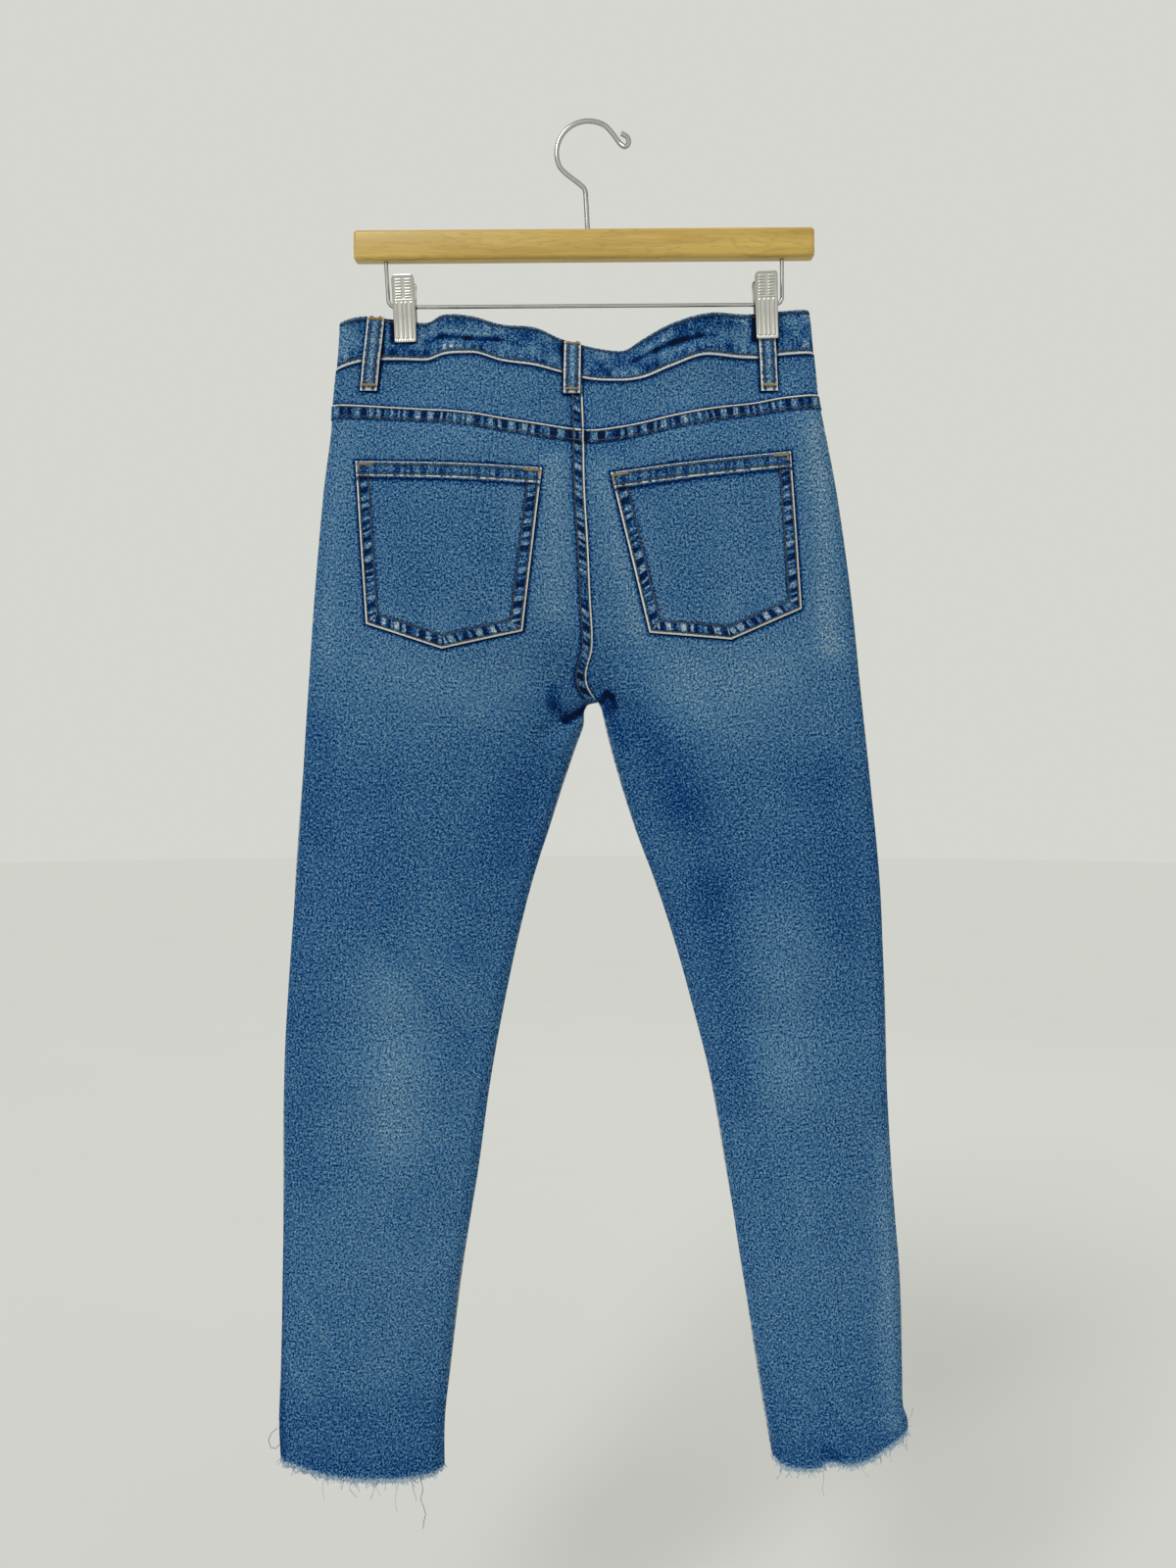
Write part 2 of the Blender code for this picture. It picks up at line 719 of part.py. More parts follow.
def build_fly(parent):
    """The placket over the closed zip: it runs down the centre front and turns in a J."""
    down = np.array([0, 0.2, 0.4, 0.6, 0.72, 0.84, 0.93, 1.0])[:, None]
    across = np.linspace(0, 1, 4)
    top = seam_height(FRONT, "band_foot", np.array([-20.0])) - LAID_GAP
    z = top - FLAP_LENGTH * down
    to_foot = np.clip(FLAP_LENGTH * (1 - down) / FLAP_TURN, 0, 1)
    width = FLAP_OVER + 3 + (FLAP_WIDTH - 3) * np.sqrt(1 - (1 - to_foot) ** 2)
    x = centre_seam(FRONT, z) + FLAP_OVER - width * across
    z = z + np.zeros_like(x)
    z[0] = seam_height(FRONT, "band_foot", x[0]) - LAID_GAP
    outer = cloth(FRONT, LEFT, x, z, LAID_GAP + FLAP_WALL)
    inner = cloth(FRONT, LEFT, x, z, LAID_GAP)
    wall("fly_flap", outer, inner, parent)

    z = top - 4 - ZIP_LENGTH * np.linspace(0, 1, 6)[:, None]
    x = centre_seam(FRONT, z) + ZIP_WIDTH * np.array([-0.5, 0.0, 0.5])
    z = z + np.zeros_like(x)
    outer = cloth(FRONT, LEFT, x, z, -WALL - LAID_GAP)
    inner = cloth(FRONT, LEFT, x, z, -WALL - LAID_GAP - ZIP_WALL)
    wall("zip", outer, inner, parent, BRASS_ZIP)


def build_loops(parent):
    """Each loop stands on the band, then steps down to the cloth under the band's foot."""
    down = np.array([0, 0.08, 0.25, 0.42, 0.58, 0.72, 0.86, 1.0])
    across = np.array([-0.5, 0.0, 0.5])
    for name, loop in LOOPS.items():
        side = loop["side"]
        centre = mix(loop["top"], loop["foot"], down)[:, None]
        x = centre + LOOP_WIDTH * across
        leg = nearest_leg(loop["top"])
        top_z = seam_height(side, "band_top", x[0].mean() + np.zeros(3)) + 0.4
        z = mix(top_z, loop["foot_z"], down[:, None])
        low = seam_height(side, "band_foot", x)
        high = seam_height(side, "band_top", x)
        share = np.clip((z - low) / (high - low), 0, 1)
        on_band = band_depth(side, x, share) * roundness(np.abs(x - side_edge(leg, z)))[0]
        on_cloth = cloth(side, leg, x, z, 0.0)[..., 1] * side
        under = np.where(z > low, on_band, np.maximum(on_band, on_cloth))
        fall = ease((low - 4 - z) / 14)
        base = mix(under, on_cloth + loop["seat"], fall)
        stand = LAID_GAP + loop["stand"] * np.sin(math.pi * down)[:, None]
        inner = np.stack([x, side * (base + stand), z], axis=-1)
        outer = np.stack([x, side * (base + stand + LOOP_WALL), z], axis=-1)
        wall(name, outer, inner, parent, WORN_DENIM)


BUTTON_PROFILE = (
    (0.0, 4.2), (0.55, 4.2), (0.68, 3.6), (0.8, 4.4), (0.94, 4.1),
    (1.0, 3.2), (0.9, 2.0), (0.45, 1.6), (0.45, 0.0), (0.0, 0.0),
)


def turned_shape(radii, heights, steps, closed=True):
    """A profile spun a full turn about Z."""
    shape = bmesh.new()
    ring = [shape.verts.new((radius, 0.0, height)) for radius, height in zip(radii, heights)]
    ends = ring[1:] + ring[:1] if closed else ring[1:]
    edges = [shape.edges.new(pair) for pair in zip(ring, ends)]
    bmesh.ops.spin(
        shape, geom=ring + edges, axis=(0, 0, 1), cent=(0, 0, 0),
        angle=2 * math.pi, steps=steps, use_merge=True,
    )
    bmesh.ops.remove_doubles(shape, verts=shape.verts[:], dist=1e-6)
    return shape


def build_button(parent):
    """A tack button on the lapped ends of the band."""
    top_z = seam_height(FRONT, "band_top", BUTTON_X)
    foot_z = seam_height(FRONT, "band_foot", BUTTON_X)
    face = band_depth(FRONT, np.array([BUTTON_X]), np.array([0.5]))[0]
    rim = BUTTON_RADIUS * MM
    profile = table("share height", *BUTTON_PROFILE)
    shape = turned_shape(profile["share"] * rim, profile["height"] * MM, 16, closed=False)
    obj = mesh_object("button", shape, parent)
    obj.location = (BUTTON_X * MM, (face + LAID_GAP) * MM, (top_z + foot_z) / 2 * MM)
    obj.rotation_euler = (-math.pi / 2, 0, 0)
    paint(obj, STEEL, 0.35, 1.0)


# Frayed hems

def build_fringe(parent):
    """A narrow ring parted from the raw edge, with a thread drawn down from every other face."""
    stations = 2 * FRINGE_STRANDS
    for leg, word in ((LEFT, "left"), (RIGHT, "right")):
        columns = panel_columns(leg, False)
        hem = hem_row(leg, columns)
        x = column_x(BACK, leg, columns, hem)
        loop_x = np.concatenate([x, x[-2:0:-1]])
        loop_z = np.concatenate([hem, hem[-2:0:-1]])
        loop_side = np.concatenate([np.full(len(x), BACK), np.full(len(x) - 2, FRONT)])
        places = zip(loop_side, loop_x, loop_z)
        middle = np.array([cloth(side, leg, x, z, -WALL / 2) for side, x, z in places])
        middle[[0, len(x) - 1], 1] = 0.0
        closed = np.concatenate([middle, middle[:1]])
        run = np.concatenate([[0], np.cumsum(np.linalg.norm(np.diff(closed, axis=0), axis=1))])
        at = np.linspace(0, run[-1], stations, endpoint=False)
        ring = np.stack([np.interp(at, run, closed[:, axis]) for axis in range(3)], axis=-1)
        ahead, behind = np.roll(ring, -1, axis=0), np.roll(ring, 1, axis=0)
        way = ahead - behind
        sideways = np.stack([way[:, 1], -way[:, 0], np.zeros(stations)], axis=-1)
        sideways /= np.linalg.norm(sideways, axis=1, keepdims=True)
        shape = bmesh.new()
        section = []
        for across, drop in ((-0.5, 0.0), (0.5, 0.0), (0.5, 1.0), (-0.5, 1.0)):
            points = ring + sideways * across * FRINGE_WALL
            points[:, 2] -= SEAM_GAP + 0.3 + drop * FRINGE_STRIP
            section.append([shape.verts.new([float(v) * MM for v in point]) for point in points])
        feet = []
        for k in range(stations):
            onward = (k + 1) % stations
            for side in range(4):
                beside = (side + 1) % 4
                face = shape.faces.new((
                    section[side][k], section[side][onward],
                    section[beside][onward], section[beside][k],
                ))
                if side == 2 and k % 2 == 0:
                    feet.append(face)
        drawn = bmesh.ops.extrude_discrete_faces(shape, faces=feet)["faces"]
        for k, face in enumerate(drawn):
            length = FRINGE_LENGTH * (1.0 + 0.45 * math.sin(2.4 * k) + 0.3 * math.sin(5.3 * k))
            lean = 0.8 * math.sin(3.7 * k)
            centre = face.calc_center_median()
            for vert in face.verts:
                vert.co = centre + (vert.co - centre) * FRINGE_TAPER
                vert.co.z -= length * MM
                vert.co.x += lean * MM
        obj = mesh_object("fringe_" + word, shape, parent)
        paint(obj, FRAYED, 0.9)


# Hanger

def arc(centre_x, centre_z, radius, start, end, steps):
    """Points in the XZ plane along an arc, with angles in degrees from +X."""
    angles = np.radians(np.linspace(start, end, steps))
    return [(centre_x + radius * math.cos(a), 0.0, centre_z + radius * math.sin(a)) for a in angles]


def wire_object(name, points, thickness, parent):
    """A round wire along a run of points in millimetres, made a closed mesh."""
    data = bpy.data.curves.new(name + "_line", "CURVE")
    data.dimensions = "3D"
    data.bevel_depth = thickness / 2 * MM
    data.bevel_resolution = 2
    data.use_fill_caps = True
    spline = data.splines.new("POLY")
    spline.points.add(len(points) - 1)
    for point, place in zip(spline.points, points):
        point.co = (*(value * MM for value in place), 1.0)
    return add_object(name, data, parent)


HOOK_STEM = [(-3.6, 0, -58.0), (-3.9, 0, -53.6), (-4.9, 0, -50.8), (-6.9, 0, -48.8)]
HOOK_END = [
    (18.0, 0, -8.6), (21.6, 0, -13.6), (24.6, -0.4, -17.2),
    (27.0, -1.2, -18.9), (29.4, -2.4, -18.2), (30.2, -3.6, -15.8),
    (29.0, -4.6, -13.2), (26.6, -5.0, -11.6), (24.2, -5.2, -10.6),
]


def build_hanger(parent):
    shape = bmesh.new()
    size = Matrix.Diagonal((BAR_LENGTH * MM, BAR_DEPTH * MM, BAR_HEIGHT * MM, 1.0))
    bmesh.ops.create_cube(shape, size=1.0, matrix=size)
    bar = mesh_object("hanger_bar", shape, parent)
    bar.location = (BAR_X * MM, 0, BAR_Z * MM)
    rounding = bar.modifiers.new("Rounding", "BEVEL")
    rounding.width = BAR_ROUND * MM
    rounding.segments = 3
    paint(bar, MAPLE, 0.45)

    centre_z = HOOK_WIRE / 2 - HOOK_RADIUS
    bar_top = BAR_Z + BAR_HEIGHT / 2
    bar_foot = BAR_Z - BAR_HEIGHT / 2
    points = [(-2.4, 0, bar_top + SEAM_GAP), *HOOK_STEM]
    points += arc(HOOK_X, centre_z, HOOK_RADIUS, 207, 58, 19)
    points += HOOK_END
    hook = wire_object("hanger_hook", points, HOOK_WIRE, parent)
    paint(hook, STEEL, 0.2, 1.0)

    low, bend = WIRE_Z, WIRE_BEND
    points = [(WIRE_LEFT - WIRE_TOP_SPREAD, 0, bar_foot - SEAM_GAP)]
    points += arc(WIRE_LEFT + bend, low + bend, bend, 180, 270, 5)
    points += arc(WIRE_RIGHT - bend, low + bend, bend, 270, 360, 5)
    points += [(WIRE_RIGHT, 0, bar_foot - SEAM_GAP)]
    wire = wire_object("hanger_wire", points, WIRE_THICK, parent)
    paint(wire, STEEL, 0.2, 1.0)


# Clips

JAW = table(
    "z rise flange",
    (-28.5, 0.0, 0.3),
    (-24.0, 0.0, 0.3),
    (-12.0, 0.5, 0.3),
    (-5.0, 1.3, 1.0),
    (6.0, 2.6, 3.4),
    (14.0, 4.2, 2.4),
    (22.0, 6.2, 0.8),
)
RIB_TOP = 2.0
RIB_RISE = 0.55
RIBS = 4


def jaw_shape(side, grip):
    """A pressed plate with turned-in flanges and long ribs over its lower part."""
    half = CLIP_WIDTH / 2
    ribs = np.linspace(-half + 2.0, half - 2.0, 2 * RIBS + 1)
    xs = np.concatenate([[-half, -half], ribs, [half, half]])
    z = np.array([CLIP_TIP, -27.0, -24.0, -12.0, -5.0, RIB_TOP, RIB_TOP + 1.5, 14.0, CLIP_TOP])
    face = grip + along(JAW, "z", "rise", z) + CLIP_PLATE
    flange = along(JAW, "z", "flange", z)
    ribbed = np.zeros(len(xs))
    ribbed[3:-2:2] = RIB_RISE
    on_rib = (z > CLIP_TIP + 1) & (z <= RIB_TOP)
    rise = on_rib[:, None] * ribbed
    depth_out = face[:, None] + rise
    depth_in = face[:, None] - CLIP_PLATE + np.zeros_like(rise)
    for edge in (0, -1):
        depth_out[:, edge] = face - CLIP_PLATE - flange
        depth_in[:, edge] = face - CLIP_PLATE - flange
    x_out = np.broadcast_to(xs, rise.shape)
    x_in = np.clip(x_out, CLIP_PLATE - half, half - CLIP_PLATE)
    height = np.broadcast_to(z[:, None], rise.shape)
    outer = np.stack([x_out, side * depth_out, height], axis=-1)
    inner = np.stack([x_in, side * depth_in, height], axis=-1)
    return wall_shape(outer, inner)


def build_clips(hanger):
    """Two plated clips on the lower wire, each with two jaws and a sprung sleeve."""
    for word, place in CLIP_X.items():
        mount = bpy.data.objects.new("clip_" + word, None)
        PARTS.objects.link(mount)
        mount.parent = hanger
        mount.location = (place * MM, 0, WIRE_Z * MM)
        mount.rotation_euler = (0, -CLIP_LEAN, 0)
        over_loop = LOOP_WALL + LAID_GAP if word == "right" else 0.0
        for side, jaw, grip in ((BACK, "near", CLIP_GRIP + over_loop), (FRONT, "far", CLIP_GRIP)):
            obj = mesh_object(f"clip_{word}_{jaw}_jaw", jaw_shape(side, grip), mount, 30)
            paint(obj, NICKEL, 0.3, 1.0)
        bore = (WIRE_THICK / 2 + SEAM_GAP) * MM
        outside = SPRING_RADIUS * MM
        end = SPRING_LENGTH / 2 * MM
        shape = turned_shape((bore, outside, outside, bore), (-end, -end, end, end), 12)
        sleeve = mesh_object(f"clip_{word}_spring", shape, mount)
        sleeve.rotation_euler = (0, math.pi / 2 + CLIP_LEAN, 0)
        paint(sleeve, STEEL, 0.3, 1.0)


def empty(name, turn=(0, 0, 0)):
    made = bpy.data.objects.new(name, None)
    PARTS.objects.link(made)
    made.rotation_euler = turn
    return made


clear_scene()
PARTS = new_collection("Jeans_on_clip_hanger")
jeans = empty("jeans")
hanger = empty("hanger", (0, -HANGER_TILT, 0))
build_backs(jeans)
build_yokes(jeans)
build_fronts(jeans)
build_facings(jeans)
build_waistband(jeans)
build_back_pockets(jeans)
build_fly(jeans)
build_loops(jeans)
build_button(jeans)
build_fringe(jeans)
build_hanger(hanger)
build_clips(hanger)
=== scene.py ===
"""Dresses the hung jeans and their wooden clip hanger with cloth, sewing, frayed hems, wood and steel.

The jeans' back faces -Y, which is the side that the camera sees, +X is the wearer's right and
the origin is the underside of the hook's arc. Sizes in the tables are millimetres, and points
become metres when a mesh is made.
"""

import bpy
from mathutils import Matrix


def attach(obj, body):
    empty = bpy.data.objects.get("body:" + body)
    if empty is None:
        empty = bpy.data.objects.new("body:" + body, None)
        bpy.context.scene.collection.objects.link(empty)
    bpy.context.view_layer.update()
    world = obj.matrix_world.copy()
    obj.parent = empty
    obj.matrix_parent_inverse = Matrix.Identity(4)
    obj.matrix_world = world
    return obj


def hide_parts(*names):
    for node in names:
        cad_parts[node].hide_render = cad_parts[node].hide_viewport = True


bl_info = {
    "name": "Hung Jeans Dresser",
    "version": (1, 0, 0),
    "blender": (4, 5, 0),
    "location": "View3D > Sidebar > Jeans",
    "description": "Builds worn denim, seams, frayed hems and a clip hanger round a packed frame",
    "category": "Object",
}

import math

import bmesh
import bpy
import numpy as np
from bpy.props import FloatProperty, FloatVectorProperty, IntProperty, PointerProperty
from bpy.types import Operator, Panel, PropertyGroup
from mathutils import Matrix, Vector

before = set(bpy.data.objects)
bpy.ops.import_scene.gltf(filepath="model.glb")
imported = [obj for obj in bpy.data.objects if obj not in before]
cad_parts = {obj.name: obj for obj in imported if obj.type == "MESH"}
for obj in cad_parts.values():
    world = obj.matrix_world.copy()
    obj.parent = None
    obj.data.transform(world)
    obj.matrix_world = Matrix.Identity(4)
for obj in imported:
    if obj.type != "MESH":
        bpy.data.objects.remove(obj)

MM = 0.001
BACK, FRONT = -1, 1
LEFT, RIGHT = -1, 1
BODY = "root"


def table(names, *rows):
    """A table of sizes as one array for each named column."""
    return dict(zip(names.split(), np.array(rows, float).T))


# Cloth thicknesses and clearances

WALL = 1.4
BAND_WALL = 2.6
POCKET_WALL = 1.3
LOOP_WALL = 2.0
FLAP_WALL = 1.2
SEAM_GAP = 0.3
LAID_GAP = 0.5
BAND_STEP = 0.8
LAP_RISE = 0.9
BACK_LAP = 11.0
SEAT_LAP = 9.4
LAP_EDGE = 1.0

# The garment's outline from the front

CROTCH_X, CROTCH_Z = 6.5, -452.5

LEFT_SIDE = table(
    "z x",
    (-145, -195.5), (-160, -195.8), (-190, -197.8), (-215, -200.2), (-240, -201.6),
    (-287, -207.6), (-363, -214.5), (-440, -219.2), (-516, -224.4), (-593, -229.8),
    (-670, -234.4), (-746, -238.6), (-823, -239.2), (-900, -239.8), (-976, -241.3),
    (-1014, -242.8), (-1048, -241.3),
)
RIGHT_SIDE = table(
    "z x",
    (-140, 169.5), (-155, 172.4), (-172, 174.0), (-190, 175.6), (-210, 177.2),
    (-240, 183.1), (-287, 192.3), (-363, 203.0), (-440, 210.8), (-516, 219.1),
    (-593, 226.5), (-670, 229.8), (-746, 232.1), (-823, 236.0), (-900, 242.0),
    (-976, 244.3), (-1003, 245.2), (-1014, 248.8), (-1040, 246.5),
)
LEFT_INSEAM = table(
    "z x",
    (-452.5, 6.5), (-453.6, 0.5), (-456.5, -3.0), (-470, -5.0), (-486, -10.7),
    (-516, -20.9), (-555, -32.9), (-593, -45.2), (-631, -55.2), (-670, -63.6),
    (-746, -77.4), (-823, -88.3), (-900, -101.0), (-976, -109.6), (-1014, -113.4),
    (-1060, -113.6),
)
RIGHT_INSEAM = table(
    "z x",
    (-452.5, 6.5), (-456.5, 8.6), (-470, 12.1), (-486, 16.1), (-516, 24.6),
    (-555, 37.0), (-593, 51.0), (-631, 63.6), (-670, 75.1), (-746, 94.0),
    (-823, 107.2), (-900, 119.6), (-976, 131.7), (-1014, 138.0), (-1050, 144.0),
)
CENTRE_BACK = table(
    "z x",
    (-165, -6.5), (-205, -6.0), (-245, -4.6), (-290, -3.8), (-335, -1.2), (-375, 0.6),
    (-404, 2.2), (-414, 1.6), (-424, -1.2), (-432, -2.7), (-439, -2.0), (-446, 1.4), (-452.5, 6.5),
)
CENTRE_FRONT = table("z x", (-165, -5.0), (-300, -4.0), (-400, 0.5), (-452.5, 6.5))

# The cross seams, read from side to side

BACK_SEAMS = table(
    "x band_top band_foot yoke_foot",
    (-200, -157.5, -194.6, -221.0),
    (-175, -152.0, -187.6, -222.5),
    (-150, -154.4, -186.4, -224.5),
    (-127, -156.6, -187.2, -226.5),
    (-114, -151.6, -184.0, -228.0),
    (-92, -153.5, -183.6, -231.0),
    (-68, -160.0, -190.5, -235.5),
    (-42, -161.6, -194.5, -239.5),
    (-22, -169.0, -199.5, -242.5),
    (0, -174.6, -205.0, -244.8),
    (24, -177.8, -206.0, -242.0),
    (42, -168.5, -203.5, -238.5),
    (62, -158.5, -195.0, -233.5),
    (92, -150.8, -184.8, -227.0),
    (130, -149.6, -185.4, -220.0),
    (150, -147.4, -182.6, -216.0),
    (178, -146.0, -181.2, -213.0),
)
FRONT_SEAMS = table(
    "x band_top band_foot",
    (-200, -157.5, -194.6),
    (-175, -153.0, -189.5),
    (-144, -155.0, -190.0),
    (-110, -163.0, -198.0),
    (-60, -179.0, -214.0),
    (0, -189.0, -224.0),
    (60, -178.0, -213.0),
    (105, -159.0, -195.0),
    (137, -150.0, -186.5),
    (178, -146.0, -181.2),
)
HEMS = table(
    "share left right",
    (0.00, -1042, -1019),
    (0.14, -1046, -1029),
    (0.28, -1050, -1037.5),
    (0.45, -1052.5, -1041),
    (0.58, -1053.5, -1039.5),
    (0.68, -1053.5, -1044.5),
    (0.80, -1053, -1046),
    (0.93, -1050.5, -1044.5),
    (1.00, -1047, -1040),
)

# Depth of the outer skin from the garment's mid plane

EDGE_RADIUS = 9.4
EDGE_DEPTH = 6.5
DEPTHS = table(
    "z back front outer_run inner_run",
    (-200, 15.5, 8.5, 140, 110),
    (-250, 20.0, 9.5, 140, 110),
    (-300, 21.5, 10.5, 138, 110),
    (-380, 18.0, 10.0, 125, 108),
    (-450, 13.0, 9.0, 105, 100),
    (-520, 9.5, 8.0, 92, 92),
    (-620, 7.5, 7.5, 84, 84),
    (-740, 6.5, 7.0, 76, 76),
    (-860, 6.0, 6.5, 68, 68),
    (-960, 6.0, 6.0, 62, 62),
    (-1060, 6.5, 6.5, 58, 58),
)
BAND_DEPTHS = table(
    "x back_top back_foot front_top front_foot",
    (-190, 4.6, 6.0, 5.0, 7.0),
    (-150, 6.5, 8.5, 7.0, 9.5),
    (-100, 9.5, 13.0, 11.0, 13.5),
    (-55, 8.5, 16.5, 14.0, 16.0),
    (-15, 2.0, 17.0, 15.5, 17.0),
    (25, 0.5, 17.0, 15.5, 17.0),
    (55, 5.0, 16.5, 14.0, 16.0),
    (90, 9.0, 13.0, 11.0, 13.5),
    (130, 6.5, 8.5, 7.0, 9.5),
    (168, 4.6, 6.0, 5.0, 7.0),
)
BAND_FADE = 78.0
PINCH_FLAT = 13.0
PINCH_FADE = 30.0
PINCH_FOOT = 0.55
PINCH_HIGH = 0.42

# Folds: a soft trough (negative rise) or ridge along each line
FOLDS = table(
    "side x0 z0 x1 z1 width rise",
    (BACK, -36, -478, -4, -456, 5.5, -3.6),
    (BACK, -58, -430, -22, -447, 13.0, -2.6),
    (BACK, 12, -446, 26, -462, 8.0, -4.2),
    (BACK, 40, -430, 22, -442, 14.0, 1.8),
    (BACK, -150, -205, -96, -222, 12.0, -2.0),
    (BACK, 92, -205, 128, -214, 11.0, -1.8),
    (BACK, -60, -206, -30, -214, 9.0, 1.6),
    (BACK, -205, -700, -110, -716, 16.0, -1.8),
    (BACK, -200, -752, -120, -744, 18.0, 1.6),
    (BACK, 120, -704, 205, -694, 16.0, -1.8),
    (BACK, 128, -748, 214, -760, 18.0, 1.6),
    (FRONT, -60, -458, -16, -486, 9.0, -3.2),
    (FRONT, 28, -486, 70, -456, 9.0, -3.2),
    (FRONT, -128, -402, -50, -430, 14.0, 1.8),
    (FRONT, 60, -432, 134, -404, 14.0, 1.8),
    (FRONT, -190, -690, -104, -704, 16.0, -2.0),
    (FRONT, 112, -700, 200, -686, 16.0, -2.0),
    (FRONT, -196, -742, -112, -730, 18.0, 1.8),
    (FRONT, 122, -728, 208, -744, 18.0, 1.8),
)
BAND_FOLDS = table(
    "side x0 x1 share width rise",
    (BACK, -126, -70, 0.50, 0.20, -2.2),
    (BACK, 38, 98, 0.56, 0.20, -2.4),
    (BACK, -20, -24, 0.50, 0.60, -1.6),
    (FRONT, -96, -52, 0.45, 0.22, -1.8),
    (FRONT, 48, 92, 0.50, 0.22, -1.8),
)
BAND_FOLD_END = 9.0

# Painted shade in the band's folds and painted highlights on their pale lips
BAND_SHADING = table(
    "side x0 z0 x1 z1 width tone",
    (BACK, -127, -172, -115, -168, 1.8, -1.3),
    (BACK, -115, -168, -94, -171, 2.4, -1.8),
    (BACK, -94, -171, -72, -172, 2.0, -1.6),
    (BACK, -72, -172, -50, -178, 1.6, -0.9),
    (BACK, -124, -165, -80, -167, 2.2, 0.40),
    (BACK, -118, -178, -76, -179, 2.6, 0.24),
    (BACK, -60, -184, -36, -190, 2.4, 0.28),
    (BACK, 33, -188, 51, -179.5, 2.0, -1.4),
    (BACK, 51, -179.5, 64, -174, 2.6, -1.8),
    (BACK, 64, -174, 85, -169, 2.2, -1.8),
    (BACK, 85, -169, 97, -168, 1.6, -1.0),
    (BACK, 40, -179, 66, -167, 2.0, 0.40),
    (BACK, 56, -184, 92, -174, 2.4, 0.28),
    (BACK, -22, -176, -20, -196, 2.2, -1.4),
    (BACK, -30, -178, -28, -192, 2.2, 0.36),
    (BACK, 0, -180, 12, -196, 3.0, -0.6),
    (FRONT, -96, -176, -52, -190, 2.2, -0.9),
    (FRONT, 48, -188, 92, -178, 2.2, -0.9),
    (FRONT, -90, -183, -56, -196, 2.6, 0.35),
    (FRONT, 52, -181, 88, -171, 2.6, 0.35),
)

# Back patch pockets, by their corners
POCKETS = {
    "pocket_back_left": table(
        "x z",
        (-181.0, -267.1), (-36.6, -275.6),
        (-51.6, -399.3), (-113.4, -412.7), (-172.3, -393.1),
    ),
    "pocket_back_right": table(
        "x z",
        (15.7, -279.7), (154.6, -260.1),
        (162.8, -381.5), (108.2, -405.8), (45.6, -400.4),
    ),
}
POCKET_HEM = 11.7
POCKET_HEM_RISE = 0.8

# Front scoop pockets, fly and the band's lapped ends
SCOOP_WIDTH = 102.0
SCOOP_DEPTH = 72.0
SCOOP_POWER = 0.8
SCOOP_LAP = 7.0
FACING_DROP = 1.2
FLAP_LENGTH = 128.0
FLAP_WIDTH = 36.0
FLAP_OVER = 4.0
FLAP_TURN = 42.0
LAP_OVER = 18.0
LAP_UNDER = 22.0
LAP_INSET = BAND_WALL + LAID_GAP

# Belt loops, each a strip from the band's top to below its foot
LOOP_WIDTH = 12.8
LOOP_LENGTH = 58.0
LOOPS = {
    "loop_back_left": dict(
        side=BACK, top=-166.4, foot=-172.0, foot_z=-211.0, stand=0.9, seat=0.2),
    "loop_back_centre": dict(
        side=BACK, top=-13.4, foot=-13.9, foot_z=-216.0, stand=0.9, seat=1.1),
    "loop_back_right": dict(
        side=BACK, top=137.2, foot=139.6, foot_z=-211.0, stand=0.0, seat=0.2),
    "loop_front_left": dict(
        side=FRONT, top=-88.0, foot=-90.0, foot_z=-222.0, stand=0.9, seat=0.2),
    "loop_front_right": dict(
        side=FRONT, top=80.0, foot=82.0, foot_z=-222.0, stand=0.9, seat=0.2),
}

# Hanger
HANGER_TILT = math.radians(0.42)
BAR_LENGTH = 359.0
BAR_HEIGHT = 23.6
BAR_DEPTH = 12.6
BAR_X, BAR_Z = -5.3, -95.6
BAR_ROUND = 3.2
HOOK_WIRE = 3.75
HOOK_RADIUS = 24.9
HOOK_X = -1.3
WIRE_THICK = 3.0
WIRE_Z = -142.7
WIRE_LEFT, WIRE_RIGHT = -158.6, 149.2
WIRE_TOP_SPREAD = 1.6
WIRE_BEND = 6.0

# Clips
CLIP_WIDTH = 17.4
CLIP_TIP, CLIP_TOP = -28.5, 22.0
CLIP_PLATE = 1.0
CLIP_LEAN = math.radians(1.7)
CLIP_X = {"left": -145.6, "right": 136.0}
CLIP_GRIP = BAND_WALL + SEAM_GAP / 2 + 0.7
SPRING_RADIUS = 4.3
SPRING_LENGTH = 12.0

